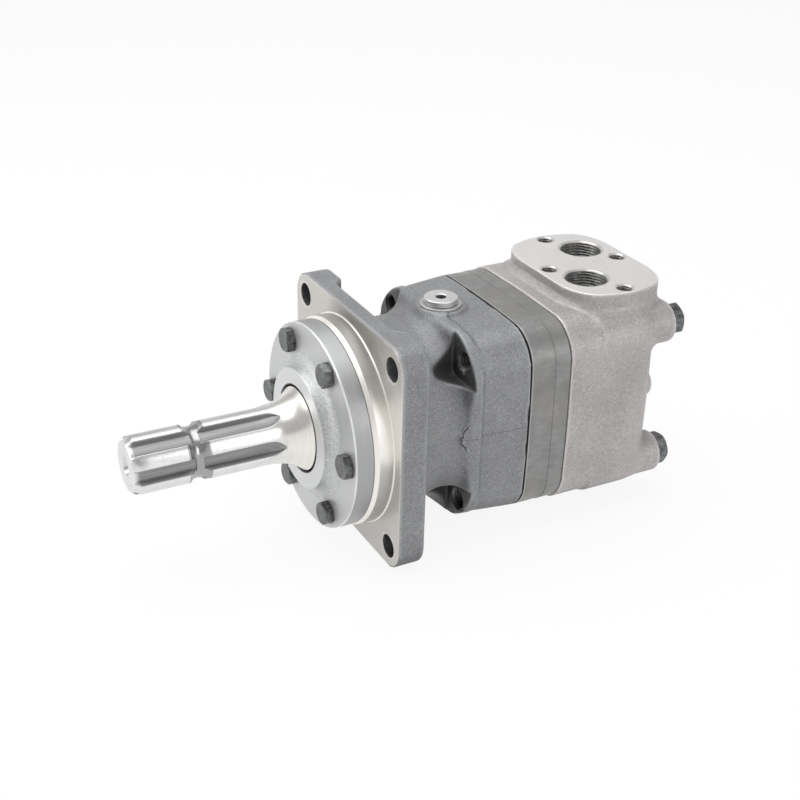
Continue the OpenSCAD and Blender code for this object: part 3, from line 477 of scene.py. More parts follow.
def internal_thread_points(crest, pitch, depth, mouth, wall):
    """Tube open at the top: outer wall, then a V thread inside that climbs one pitch a turn.

    The distance down from the mouth is the second coordinate, and the mouth has a chamfer.
    """
    t = angles(SMALL_ROUND)
    rows = [(depth, wall), (0.0, wall), (0.0, mouth)]
    for d in np.linspace(0, depth, int(depth / pitch * 8)):
        wave = np.abs(((d / pitch - t / (2 * np.pi)) % 1) * 2 - 1)
        inner = crest - 0.5 * pitch * wave
        rows.append((d, np.maximum(inner, mouth - d * 0.9)))
    return np.array([around(r, -d, t) for d, r in rows])


def lay_up(points):
    """Turns points made along Y so that they stand along Z."""
    return np.stack([points[..., 0], -points[..., 2], points[..., 1]], axis=-1)


def spline_section(tip, root, half_tooth, edge):
    """One row of a splined shaft: for each tooth a root arc, a flank, the land and a flank.

    A flank point lies at the half tooth width beside the tooth's middle line. The third value
    is 1 in the space between two teeth and 0 on a land.
    """
    out = []
    start = math.asin(min(half_tooth / root, 1)) if root > half_tooth else 0.0
    gap = math.pi / TEETH - start
    for k in range(TEETH):
        mid = math.radians(30 + k * 360 / TEETH)
        for part in np.linspace(-1, -0.04, 9):
            out.append((root, mid - start + gap * part, 1))
        rise = np.linspace(0, 1, 6)
        radii = root + (tip - edge - root) * rise
        out += [(r, mid - math.asin(half_tooth / r), 1) for r in radii]
        land = math.asin((half_tooth - edge) / tip)
        out += [(tip, mid + a, 0) for a in np.linspace(-land, land, 9)]
        out += [(r, mid + math.asin(half_tooth / r), 1) for r in radii[::-1]]
        for part in np.linspace(0.04, 0.92, 8):
            out.append((root, mid + start + gap * part, 1))
    return np.array(out)


def shaft_points():
    """Rows of the output shaft: outer and root radius at each station, then the rear bore.

    The second value holds for each point how much it belongs to a spline space.
    """
    tip, root, half_tooth = 17.425, 14.5, 4.325
    groove_y, groove_r, groove_centre = -96, 6.8, 21.5
    runout_y, cutter_r, flare_y, flare_r = -58, 26, -50, 27.6
    rows = [(-121.0, 3.2, 3.2), (-130.9, 3.3, 3.3), (-134.0, 5.4, 5.4), (-134.0, 6.0, 6.0)]
    rows += [(-134.0, 14.4, 14.4), (-133.6, 14.9, 14.5), (-130.6, 17.2, root),
             (-130.0, 17.35, root)]
    stations = np.concatenate([np.linspace(-129.5, -103, 6), np.linspace(-102, -90, 33),
                               np.linspace(-89, -60, 6), np.linspace(-58, -31.1, 60)])
    for y in stations:
        outer, floor = tip, root
        if abs(y - groove_y) < groove_r:
            depth = math.sqrt(groove_r ** 2 - (y - groove_y) ** 2)
            outer = min(tip, groove_centre - depth + 0.02)
        if y > runout_y:
            along = min(y - runout_y, 24.0)
            floor = root + cutter_r - math.sqrt(cutter_r ** 2 - along ** 2)
        if y > flare_y:
            outer = tip + flare_r - math.sqrt(flare_r ** 2 - (y - flare_y) ** 2)
        rows.append((y, outer, min(floor, outer)))
    rows += [(y, r, r) for y, r in (
        (-30.0, 25.0), (19.5, 25.0), (19.9, 29.6), (20.3, 30.0), (35.5, 30.0), (35.9, 29.6),
        (35.95, 22.5), (61.3, 22.5), (61.9, 21.9), (61.9, 17.4), (61.5, 17.0), (40.0, 17.0),
        (39.5, 15.55), (20.4, 15.55), (19.9, 15.0))]
    out, spaces = [], []
    for y, outer, floor in rows:
        if outer < 15.2 or floor >= outer - 0.02:
            section = spline_section(tip, root, half_tooth, 0.5)
            section[:, 0], section[:, 2] = outer, 0
        else:
            runout = max(1 - (outer - floor) / (tip - root), 0) if y > runout_y else 0
            wide = half_tooth + (0.5 * floor - 0.15 - half_tooth) * runout ** 1.3
            section = spline_section(outer, floor, wide, min(0.5, (outer - floor) / 3))
        out.append(around(section[:, 0], y, section[:, 1]))
        spaces.append(section[:, 2])
    return np.array(out), np.array(spaces)


def outline_radius(t, half):
    """Distance from the axis to the crowned square in the direction t, by halving a range."""
    low, high = np.full_like(t, 40.0), np.full_like(t, 95.0)
    for _ in range(30):
        middle = (low + high) / 2
        inside = crowned(middle * np.cos(t), middle * np.sin(t), half) < 0
        low, high = np.where(inside, middle, low), np.where(inside, high, middle)
    return low


def plate_points(y0, y1, half, inner, edge):
    """Rows of a crowned square plate: up its inner wall, out, down the rim with round edges."""
    t = angles(PLATE_ROUND)
    outer = outline_radius(t, half)
    inside = inner(t)
    arc = np.linspace(0, np.pi / 2, 4)
    rows = [(inside, y1), (inside, y0), ((inside + outer) / 2, y0)]
    low, high = edge
    rows += [(outer - low + low * math.sin(a), y0 + low - low * math.cos(a)) for a in arc]
    rows += [(outer, y0 + 1.5 * low), (outer, y1 - 1.5 * high)]
    rows += [(outer - high + high * math.cos(a), y1 - high + high * math.sin(a)) for a in arc]
    rows.append(((inside + outer) / 2, y1))
    return np.array([around(r, y, t) for r, y in rows])


def ring_wall(t):
    """Inner wall of the gear ring: a circle, and further out where a roller pocket is."""
    pitch = 2 * np.pi / ROLLERS
    d = (t + pitch / 2) % pitch - pitch / 2
    reach = ROLLER_POCKET_R ** 2 - (ROLLER_CIRCLE_R * np.sin(d)) ** 2
    pocket = ROLLER_CIRCLE_R * np.cos(d) + np.sqrt(np.maximum(reach, 0))
    return np.where(reach > 0, np.maximum(pocket, 38.5), 38.5)


def mark(obj, name, value):
    """Point attribute of a mesh from a function of each point in millimetres."""
    points = np.empty(len(obj.data.vertices) * 3)
    obj.data.vertices.foreach_get("co", points)
    values = value(*(points.reshape(-1, 3) / MM).T)
    obj.data.attributes.new(name, "FLOAT", "POINT").data.foreach_set("value", values)


# Materials

def rgba(value):
    """Four numbers of a colour; a single number is a grey."""
    return (*value, 1.0)[:4] if hasattr(value, "__len__") else (value, value, value, 1.0)


def scaled(colour, factor):
    return tuple(min(c * factor, 1.0) for c in colour)


class Nodes:
    """Short way to add nodes and links to a material, or to a world, and its main colour."""

    def __init__(self, name, colour=(1.0, 1.0, 1.0), owner=None):
        self.owner = owner or bpy.data.materials.new(name)
        self.owner.use_nodes = True
        self.tree = self.owner.node_tree
        self.colour = colour
        self.place = self.add("ShaderNodeTexCoord").outputs
        self.object = self.place["Object"]
        self.shifted = self.stretch((1.0, 1.0, 1.0))

    def set(self, slot, value):
        """Links an output to an input, or gives the input a value."""
        if hasattr(value, "is_output"):
            self.tree.links.new(value, slot)
        else:
            slot.default_value = rgba(value) if slot.type == "RGBA" else value

    def add(self, kind, **values):
        node = self.tree.nodes.new(kind)
        for key, value in values.items():
            if key in node.inputs:
                self.set(node.inputs[key], value)
            else:
                setattr(node, key, value)
        return node

    def noise(self, scale, detail=3.0, rough=0.55, vector=None):
        return self.add("ShaderNodeTexNoise", Scale=scale, Detail=detail, Roughness=rough,
                        Vector=vector or self.shifted).outputs["Fac"]

    def cells(self, scale):
        node = self.add("ShaderNodeTexVoronoi", Scale=scale, Vector=self.object)
        return node.outputs["Color"]

    def attribute(self, name):
        return self.add("ShaderNodeAttribute", attribute_name=name).outputs["Fac"]

    def edges(self):
        return self.add("ShaderNodeNewGeometry").outputs["Pointiness"]

    def stretch(self, scale):
        return self.add("ShaderNodeMapping", Vector=self.object, Scale=scale,
                        Location=(0.1234, 0.0571, 0.0317)).outputs["Vector"]

    def axes(self, place=None):
        return self.add("ShaderNodeSeparateXYZ", Vector=place or self.object).outputs

    def ramp(self, factor, *stops):
        """Colour or grey between stops, each a place and a value."""
        node = self.add("ShaderNodeValToRGB", Fac=factor)
        elements = node.color_ramp.elements
        while len(elements) < len(stops):
            elements.new(0.5)
        for element, (place, value) in zip(elements, stops):
            element.position, element.color = place, rgba(value)
        return node.outputs["Color"]

    def tones(self, factor, *stops):
        """Shades of the main colour between stops, each a place and a factor."""
        return self.ramp(factor, *[(place, scaled(self.colour, k)) for place, k in stops])

    def mix(self, share, a, b):
        node = self.add("ShaderNodeMix", data_type="RGBA")
        slots = [s for s in node.inputs if s.type == "RGBA"]
        for slot, value in zip((node.inputs[0], *slots), (share, a, b)):
            self.set(slot, value)
        return [o for o in node.outputs if o.type == "RGBA"][0]

    def tint(self, mask, base, k):
        """The base, and where the mask is 1 the main colour by a factor."""
        return self.mix(mask, base, scaled(self.colour, k))

    def maths(self, operation, *values):
        node = self.add("ShaderNodeMath", operation=operation)
        for slot, value in zip(node.inputs, values):
            self.set(slot, value)
        return node.outputs[0]

    def times(self, a, b):
        return self.maths("MULTIPLY", a, b)

    def rest(self, share):
        return self.maths("SUBTRACT", 1.0, share)

    def radius(self, axes):
        square = self.maths("ADD", self.times(axes[0], axes[0]), self.times(axes[2], axes[2]))
        return self.maths("SQRT", square)

    def step(self, value, low, high):
        """0 below the low value, 1 above the high one, and a smooth step between them."""
        limits = {"From Min": low, "From Max": high}
        return self.add("ShaderNodeMapRange", interpolation_type="SMOOTHSTEP", Value=value,
                        **limits).outputs[0]

    def within(self, value, low, high, soft):
        """1 between two limits with soft edges, 0 elsewhere."""
        above = self.step(value, low - soft, low + soft)
        return self.times(above, self.rest(self.step(value, high - soft, high + soft)))

    def bump(self, height, strength, distance, **more):
        return self.add("ShaderNodeBump", Height=height, Strength=strength, Distance=distance,
                        **more).outputs[0]

    def show(self, output, share, a, b):
        """Sends two shaders, mixed by a share, to the output node of that name."""
        mixed = self.add("ShaderNodeMixShader")
        for slot, value in zip(mixed.inputs, (share, a.outputs[0], b.outputs[0])):
            self.set(slot, value)
        self.set(self.tree.nodes[output].inputs["Surface"], mixed.outputs[0])

    def finish(self, colour, roughness, normal=None, metallic=1.0):
        slots = self.tree.nodes["Principled BSDF"].inputs
        self.set(slots["Base Color"], colour)
        self.set(slots["Roughness"], roughness)
        self.set(slots["Metallic"], metallic)
        if normal is not None:
            self.set(slots["Normal"], normal)
        return self.owner


def cast_skin(n, axes, grain, contrast, shade, scar):
    """Colour, roughness and height of a sand casting.

    Flecks and pits of two sizes over soft blotches, with worn edges, and painted shade in
    pockets, holes and inner corners.
    """
    fine = n.noise(1900 / grain, 3.0, 0.7)
    medium = n.noise(520 / grain, 4.0, 0.65)
    flecks = n.cells(1250 / grain)
    most = 0.85 * contrast
    cast = n.tones(n.noise(36, 3.0, 0.6), (0.3, 0.86), (0.7, 1.12))
    cast = n.tint(n.ramp(fine, (0.5, 0.0), (0.66, most)), cast, 1.6)
    cast = n.tint(n.ramp(fine, (0.34, most), (0.49, 0.0)), cast, 0.45)
    cast = n.tint(n.ramp(flecks, (0.7, 0.0), (1.0, 0.35)), cast, 2.0)
    cast = n.tint(n.ramp(medium, (0.36, 0.4), (0.5, 0.0)), cast, 0.7)
    cast = n.tint(n.ramp(n.edges(), (0.51, 0.0), (0.56, 0.6)), cast, 1.8)
    height = n.mix(0.4, n.mix(0.45, fine, medium), flecks)
    if scar:
        core, rim = casting_scar(n, axes)
        cast = n.tint(n.times(rim, 0.4), cast, 1.6)
        cast = n.tint(core, cast, 0.3)
        height = n.mix(core, n.mix(rim, height, 1.3), 0.0)
    # Painted shade: darker inside the marked pockets and bolt holes, and where little sky is seen
    cast = n.tint(n.times(n.attribute("recess_shade"), 0.55), cast, 0.22)
    cast = n.tint(occlusion_shade(n, shade), cast, 0.16)
    return cast, n.ramp(fine, (0.3, 0.38), (0.7, 0.6)), height


def milled_face(n, axes, metal, turned):
    """Colour and roughness of a machined face: fine rings, stains, bright edges, painted sheen
    and shade.
    """
    rings = n.noise(1.0, 2.0, 0.6, vector=ring_vector(n, axes))
    stains = n.ramp(n.noise(36, 3.0, 0.6), (0.35, 0.25), (0.65, 0.0))
    milled = n.ramp(rings, (0.3, scaled(metal, 0.93)), (0.7, scaled(metal, 1.06)))
    milled = n.mix(stains, milled, scaled(metal, 0.87))
    milled = n.mix(n.ramp(n.edges(), (0.52, 0.0), (0.58, 0.5)), milled, scaled(metal, 1.4))
    # Turned faces get painted sheen: lighter and darker sectors round the axis Y
    if turned:
        milled = sheen(n, axes, milled, metal)
    # Painted shade in small inner corners and holes
    milled = n.mix(occlusion_shade(n, 0.004), milled, scaled(metal, 0.2))
    return milled, n.ramp(rings, (0.3, 0.32), (0.7, 0.42))


def cast_metal(name, colour, machined, zone, grain=1.0, contrast=1.0, shade=0.03,
               scar=False, turned=False):
    """Casting that is machined between the limits of its zone (axis, low, high).

    A scar adds the crack and the mould line, and turned adds painted sheen round the axis Y.
    """
    n = Nodes(name, colour)
    axes = n.axes()
    axis, low, high = zone
    mask = n.within(axes[axis], low, high, 0.00012)
    cast, cast_rough, height = cast_skin(n, axes, grain, contrast, shade, scar)
    milled, milled_rough = milled_face(n, axes, machined, turned)
    bump = n.bump(height, n.rest(n.times(mask, 0.92)), 0.0005)
    return n.finish(n.mix(mask, cast, milled), n.mix(mask, cast_rough, milled_rough), bump,
                    n.ramp(mask, (0.0, 0.7), (1.0, 0.45)))


def occlusion_shade(n, distance=0.016):
    """Share of painted shade in holes, pockets and inner corners, from how much of the sky is
    hidden.
    """
    node = n.add("ShaderNodeAmbientOcclusion", samples=8, Distance=distance)
    return n.ramp(node.outputs["AO"], (0.15, 0.95), (0.4, 0.45), (0.75, 0.0))


def sheen(n, axes, base, metal, bright=0.8):
    """Painted sheen: darker and lighter sectors of a turned face round the axis Y, where its
    reflections fall.
    """
    waver = n.times(n.maths("SUBTRACT", n.noise(45, 2.0, 0.5), 0.5), 0.5)
    angle = n.maths("ADD", n.maths("ARCTAN2", axes[2], axes[0]), waver)
    dark = n.within(angle, 0.92, 1.8, 0.22)
    light = n.within(angle, 0.02, 0.68, 0.2)
    base = n.mix(n.times(dark, 0.8), base, scaled(metal, 0.42))
    return n.mix(n.times(light, bright), base, scaled(metal, 1.5))


def casting_scar(n, axes):
    """Crooked crack in the casting skin beside the neck, and the faint line of the mould."""
    wobble = n.times(n.maths("SUBTRACT", n.noise(260, 3.0, 0.6), 0.5), 0.0045)
    aside = n.maths("ABSOLUTE", n.maths("SUBTRACT", axes[2], 0.0035))
    bend = n.times(aside, 0.42)
    along = n.maths("SUBTRACT", n.maths("SUBTRACT", axes[1], 0.0448), bend)
    away = n.maths("ABSOLUTE", n.maths("ADD", along, wobble))
    right = n.step(axes[0], 0.03, 0.035)
    near = n.times(right, n.rest(n.step(aside, 0.006, 0.0105)))
    core = n.rest(n.step(away, 0.0002, 0.0007))
    rim = n.rest(n.step(away, 0.0007, 0.0018))
    seam = n.maths("ADD", n.maths("SUBTRACT", axes[2], 0.003), n.times(wobble, 0.5))
    seam = n.rest(n.step(n.maths("ABSOLUTE", seam), 0.0001, 0.0006))
    seam = n.times(seam, n.times(n.step(axes[1], 0.02, 0.05), 0.4))
    core = n.times(core, n.times(near, 0.9))
    return n.maths("MAXIMUM", core, seam), n.times(rim, near)


def ring_vector(n, axes, across=2600.0):
    """Coordinates in which turned rings about Y are stripes: radius stretched, angle kept."""
    angle = n.maths("ARCTAN2", axes[2], axes[0])
    station = n.times(n.maths("ADD", axes[1], 0.3137), across)
    return n.add("ShaderNodeCombineXYZ", X=n.times(n.radius(axes), across),
                 Y=n.times(angle, 0.8), Z=station).outputs[0]


def turned_metal(name, colour):
    """Turned metal: fine rings about Y with slightly uneven brightness, and faint stains."""
    n = Nodes(name, colour)
    rings = n.noise(1.0, 3.0, 0.65, vector=ring_vector(n, n.axes()))
    base = n.tones(rings, (0.25, 0.88), (0.75, 1.12))
    base = n.tint(n.ramp(n.noise(60, 3.0, 0.6), (0.4, 0.2), (0.65, 0.0)), base, 0.75)
    # Painted shade in inner corners and holes
    base = n.tint(occlusion_shade(n, 0.006), base, 0.3)
    roughness = n.ramp(rings, (0.3, 0.255), (0.7, 0.36))
    return n.finish(base, roughness, n.bump(rings, 0.25, 0.00008))


def ground_metal(name, colour, rough=0.35, along=(1.0, 1.0, 1.0), bump=0.3, contrast=0.16,
                 edges=0.6):
    """Ground metal: fine scratches along one way over soft blotches."""
    n = Nodes(name, colour)
    scratch = n.noise(900, 4.0, 0.7, vector=n.stretch(along))
    blotch = n.noise(70, 3.0, 0.6)
    edge = n.edges()
    base = n.tones(scratch, (0.3, 1 - contrast), (0.7, 1 + contrast))
    base = n.tint(n.ramp(blotch, (0.35, 0.3), (0.65, 0.0)), base, 0.72)
    base = n.tint(n.ramp(edge, (0.52, 0.0), (0.6, edges)), base, 1.8)
    # Painted shade in inner corners and holes
    base = n.tint(occlusion_shade(n, 0.01), base, 0.25)
    roughness = n.ramp(scratch, (0.3, rough * 0.85), (0.7, rough * 1.2))
    return n.finish(base, roughness, n.bump(scratch, bump, 0.0001), 0.9)


def soft_rubber(name, colour):
    """Rubber: faint mottling and a fine grain."""
    n = Nodes(name, colour)
    grain = n.noise(1400, 3.0, 0.6)
    base = n.tones(grain, (0.3, 0.8), (0.7, 1.3))
    roughness = n.ramp(grain, (0.3, 0.54), (0.7, 0.66))
    return n.finish(base, roughness, n.bump(grain, 0.2, 0.0001), 0.0)


# Settings that a user would change

def colour_setting(name, description, default):
    return bpy.props.FloatVectorProperty(name=name, description=description, subtype="COLOR",
                                         default=default, min=0.0, max=1.0)


def number_setting(name, description, default, low, high, unit="NONE"):
    return bpy.props.FloatProperty(name=name, description=description, default=default,
                                   min=low, max=high, unit=unit)


class StudioSettings(bpy.types.PropertyGroup):
    lens: number_setting(
        "Lens", "Focal length of the camera on a 36 mm sensor", 62.31, 20.0, 200.0, "CAMERA")
    background: colour_setting(
        "Background", "Colour of the floor and of what is behind it", (0.94, 0.94, 0.94))
    key: number_setting(
        "Key light", "Power of the large lamp overhead", 10.0, 0.0, 100.0, "POWER")
    fill: number_setting(
        "Fill light", "Power of the lamp in front of the shaft end", 5.0, 0.0, 100.0, "POWER")
    side: number_setting(
        "Side light", "Power of the lamp beside the camera", 4.0, 0.0, 100.0, "POWER")
    world: number_setting("Surroundings", "Brightness of the white surroundings", 0.5, 0.0, 2.0)


class MetalSettings(bpy.types.PropertyGroup):
    body: colour_setting("Housing", "Colour of the housing's bare casting", (0.272, 0.276, 0.283))
    end: colour_setting(
        "End cover", "Colour of the end cover's bare casting", (0.45, 0.43, 0.424))
    cover: colour_setting("Front cover", "Colour of the front cover", (0.60, 0.605, 0.61))
    machined: colour_setting("Machined", "Colour of machined cast iron", (0.59, 0.57, 0.54))
    pad: colour_setting("Port face", "Colour of the milled port face", (0.73, 0.715, 0.70))
    plates: colour_setting(
        "Plates", "Colour of the gear ring and the channel plate", (0.27, 0.275, 0.272))
    shaft: colour_setting("Shaft", "Colour of the polished shaft", (0.78, 0.78, 0.775))
    bolts: colour_setting("Bolts", "Colour of the blackened bolts", (0.13, 0.133, 0.135))
    grid: number_setting(
        "Casting grid", "Grid size of the casting surfaces in millimetres", 1.25, 0.8, 4.0)


# Operators

class LooksOperator:
    """What the operators share: the settings and the way a piece is finished."""

    bl_options = {"REGISTER", "UNDO"}

    @property
    def metals(self):
        return bpy.context.scene.motor_metals

    @property
    def studio(self):
        return bpy.context.scene.motor_studio

    @staticmethod
    def settle(obj, body, slot, material, *nodes):
        """Gives a piece its material, the body it rides on and the nodes it stands for."""
        obj.data.materials.clear()
        obj.data.materials.append(material)
        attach(obj, body)
        if nodes:
            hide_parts(*nodes)
        return obj


class MOTOR_OT_housing(LooksOperator, bpy.types.Operator):
    """Cast housing with its flange, neck, pockets and drain boss, and the turned spigot"""

    bl_idname = "motor.housing"
    bl_label = "Housing"

    def execute(self, context):
        metals = self.metals
        # The machined flange face is turned, which adds painted sheen round the axis
        cast = cast_metal("housing_casting", metals.body, metals.machined,
                          (1, -0.1, 0.0003), shade=0.05, scar=True, turned=True)
        self.add_body(cast, metals.grid)
        self.add_spigot(spigot_metal(scaled(metals.machined, 1.1)))
        self.add_hole_rims(cast)
        self.add_lug_threads(thread_metal(
            "lug_thread_steel", scaled(metals.plates, 0.8), 1, 0.056, 0.051))
        return {"FINISHED"}

    def add_body(self, cast, grid):
        body = level_surface("housing_body", housing_field, (-72.1, -1.3, -72.1),
                             (72.3, 91.0, 72.3), grid)
        # Mark for painted shade inside the pockets and the lug bolt holes
        mark(body, "recess_shade", lambda x, y, z: np.maximum(
            smoothstep((0.9 - pocket_field(x, y, z)) / 0.9),
            smoothstep(-corner_rounds(x, z, BOLT_XZ, 8.2) / 1.2)))
        self.settle(body, ROOT, "cast_body", cast, "housing")

    def add_spigot(self, satin):
        arc = [(63.3 - 0.8 * math.cos(a), 0.8 * math.sin(a) - 0.8, 0)
               for a in np.linspace(0, math.pi / 2, 6)]
        spigot = lathe("housing_spigot", [
            (40.2, SPIGOT_Y, 0.3), (61.3, SPIGOT_Y, 0.15), (62.5, SPIGOT_Y + 2.7, 0.25),
            (62.5, -1.0, 0), *arc, (63.3, 1.5, 0), (40.2, 1.5, 0)])
        self.settle(spigot, ROOT, "cast_body", satin, "housing")

    def add_hole_rims(self, cast):
        rim = lathe_points(np.array([[7.0, 16.6], [7.6, 16.6], [8.4, 0.6], [8.4, -0.02],
                                     [7.3, -0.02], [7.22, 0.0], [7.0, 0.3], [7.0, 0.5]]),
                           SMALL_ROUND)
        rims = stacked([rim + (FLANGE_HOLE_XZ * sx, 0, FLANGE_HOLE_XZ * sz)
                        for sx, sz in CORNERS], close_rows=True)
        rims = make_object("flange_hole_rims", *rims)
        # Mark for painted shade inside the flange holes
        mark(rims, "recess_shade", lambda x, y, z: (y > 0.4) * 0.9)
        self.settle(rims, ROOT, "cast_body", cast, "housing")

    def add_lug_threads(self, dark):
        tube = internal_thread_points(6.1, 1.75, 26, 6.5, 7.0) * (1, -1, 1)
        threads = [tube + (sx * BOLT_XZ, LUG_Y + 0.5, sz * BOLT_XZ) for sx, sz in CORNERS]
        lugs = make_object("lug_threads", *stacked(threads))
        self.settle(lugs, ROOT, "cast_body", dark, "housing")


class MOTOR_OT_front_cover(LooksOperator, bpy.types.Operator):
    """Turned front cover with its raised boss, and the six bolts that hold it"""

    bl_idname = "motor.front_cover"
    bl_label = "Front cover and bolts"

    def execute(self, context):
        metals = self.metals
        blend = [(36 + 7.8 * (1 - math.cos(a)), BOSS_Y + 7.8 * math.sin(a), 0)
                 for a in np.linspace(0.15, math.pi / 2 - 0.05, 9)]
        cover = lathe("front_cover_disc", [
            (31.0, -1.1, 0), (31.0, -26.1, 0), (25.9, -26.1, 0), (25.9, BOSS_Y, 0.5),
            (36.0, BOSS_Y, 0.5), *blend, (44.2, COVER_Y, 0.6), (61.4, COVER_Y, 0.8),
            (61.4, SPIGOT_Y - 0.5, 0.2), (60.9, SPIGOT_Y, 0), (39.95, SPIGOT_Y, 0),
            (39.95, -1.1, 0.4)])
        metal = cover_metal(metals.cover)
        self.settle(cover, ROOT, "cast_cover", metal, "front_cover")
        parts = []
        shapes = (hex_head_points(13, 5.3, washer=0.4), shank_points(3.95, -26.8, 0.0, 1.25))
        for k, own in enumerate((12, 47, 20, 5, 33, 51)):
            place = around(COVER_BOLT_R, COVER_Y, math.radians(k * 60))
            parts += [turn_about_y(shape, own) * (1, -1, 1) + place for shape in shapes]
        bolts = make_object("cover_bolt_set", *stacked(parts), smooth_angle=25)
        metal = bolt_metal("cover_bolt_steel", metals.bolts)
        self.settle(bolts, ROOT, "dark_bolt", metal, "cover_bolts")
        return {"FINISHED"}


class MOTOR_OT_shaft(LooksOperator, bpy.types.Operator):
    """Polished output shaft with its spline, locking groove and flare"""

    bl_idname = "motor.shaft"
    bl_label = "Output shaft"

    def execute(self, context):
        points, spaces = shaft_points()
        shaft = grid_object("splined_shaft", points, smooth_angle=28)
        # Double points are joined in the mesh, so each finds its mark by its place
        near = mathutils.kdtree.KDTree(spaces.size)
        for i, point in enumerate(points.reshape(-1, 3)):
            near.insert(point, i)
        near.balance()
        values = spaces.ravel()
        found = [values[near.find(v.co / MM)[1]] for v in shaft.data.vertices]
        shaft.data.attributes.new("space", "FLOAT", "POINT").data.foreach_set("value", found)
        metal = shaft_metal(self.metals.shaft)
        self.settle(shaft, "shaft", "polished_shaft", metal, "output_shaft")
        return {"FINISHED"}


class MOTOR_OT_plates(LooksOperator, bpy.types.Operator):
    """Gear ring and channel plate, ground all round with small round edges"""

    bl_idname = "motor.plates"
    bl_label = "Gear ring and channel plate"

    def execute(self, context):
        ring = grid_object("gear_ring_plate", plate_points(
            RING_Y + 0.02, CHANNEL_Y, 60.5, ring_wall, edge=(0.9, 0.06)), close_rows=True)
        plate = grid_object("channel_plate_disc", plate_points(
            CHANNEL_Y + 0.01, REAR_Y, 60.7, lambda t: 15 + 0 * t, edge=(0.06, 0.5)),
            close_rows=True)
        steel = plate_metal(self.metals.plates)
        self.settle(ring, ROOT, "machined_plate", steel, "gear_ring")
        self.settle(plate, ROOT, "machined_plate", steel, "channel_plate")
        return {"FINISHED"}


class MOTOR_OT_end_cover(LooksOperator, bpy.types.Operator):
    """Cast end cover with its port pad and bosses, and the threads of its ports"""

    bl_idname = "motor.end_cover"
    bl_label = "End cover and port threads"

    def execute(self, context):
        metals = self.metals
        cast = cast_metal("end_cover_casting", metals.end, metals.pad,
                          (2, 0.0707, 0.2), grain=1.1, contrast=0.6)
        body = level_surface("end_cover_body", end_cover_field, (-63.1, REAR_Y - 1.9, -63.1),
                             (63.3, 196.5, 72.5), metals.grid)
        self.settle(body, ROOT, "cast_end", cast, "end_cover")
        tubes = []
        for holes, *sizes in ((PORTS, 13.2, 1.8, 16, 13.6, 14.5),
                              (MANIFOLD_HOLES, 5.0, 1.5, 12.6, 5.35, 6.0)):
            tube = lay_up(internal_thread_points(*sizes))
            tubes += [tube + (x, PORT_Y + y, PORT_Z + 0.03) for x, y in holes]
        threads = make_object("port_threads", *stacked(tubes))
        metal = thread_metal("port_thread_steel", metals.pad, 2, 0.0690, 0.0707)
        self.settle(threads, ROOT, "cast_end", metal, "end_cover")
        return {"FINISHED"}


class MOTOR_OT_rear_bolts(LooksOperator, bpy.types.Operator):
    """Long rear bolts and the socket plugs of the check valves"""

    bl_idname = "motor.rear_bolts"
    bl_label = "Rear bolts and check plugs"

    def execute(self, context):
        parts, top = [], REAR_END_Y + BOLT_BOSS_H
        head = hex_head_points(18, 9, washer=0.8)
        shank = np.concatenate([shank_points(5.9, 62 - top, 92 - top, 1.75),
                                lathe_points(np.array([[5.9, 93 - top], [5.9, 0.0]]),
                                             SHANK_ROUND)])
        for (sx, sz), turn in zip(CORNERS, (8, 40, 26, 0)):
            place = (sx * BOLT_XZ, top, sz * BOLT_XZ)
            parts += [turn_about_y(shape, turn) + place for shape in (head, shank)]
        bolts = make_object("rear_bolt_set", *stacked(parts), smooth_angle=25)
        metal = bolt_metal("rear_bolt_steel", self.metals.bolts)
        self.settle(bolts, ROOT, "dark_bolt", metal, "rear_bolts")
        plug = socket_plug_points(5.4, 0.55, 8.9, 3.0, 4.0)
        parts = [plug + (sx * CHECK_X, CHECK_Y, 0) for sx in (-1, 1)]
        plugs = make_object("check_plug_set", *stacked(parts), smooth_angle=25)
        self.settle(plugs, ROOT, "dark_bolt", metal, "check_plugs")
        return {"FINISHED"}


class MOTOR_OT_drain(LooksOperator, bpy.types.Operator):
    """Drain plug with a hexagon socket, and the washer under it"""

    bl_idname = "motor.drain"
    bl_label = "Drain plug and washer"

    def execute(self, context):
        zinc = ground_metal("bright_zinc", (0.8, 0.8, 0.8), rough=0.36, bump=0.05,
                            contrast=0.06, edges=0.0)
        dull = ground_metal("dull_zinc", (0.5, 0.5, 0.5), rough=0.45, bump=0.2,
                            contrast=0.15, edges=0.0)
        base = np.array([0, DRAIN_Y, DRAIN_Z])
        t = angles(SMALL_ROUND)
        outside = rounded_profile([(6.5, -10, 0), (6.5, 1.5, 0), (10, 1.5, 0.3),
                                   (10, 5.1, 0.5), (3.9, 5.1, 0.3), (3.5, 4.6, 0)])[:-1]
        socket = np.minimum(hex_radius(t, 3.02), 3.45)
        rows = [*lathe_points(outside, SMALL_ROUND), *[around(socket, y, t) for y in (4.8, 0.6)]]
        plug = grid_object("drain_plug_head", lay_up(np.array(rows)) + base)
        self.settle(plug, ROOT, "zinc", zinc, "drain_plug")
        washer = lathe_points(rounded_profile([(6.7, 0.0, 0), (12.6, 0.0, 0.3),
                                               (12.6, 1.5, 0.5), (6.7, 1.5, 0)]),
                              MIDDLE_ROUND)
        washer = grid_object("drain_washer_ring", lay_up(washer) + base, close_rows=True)
        self.settle(washer, ROOT, "zinc", dull, "drain_washer")
        return {"FINISHED"}


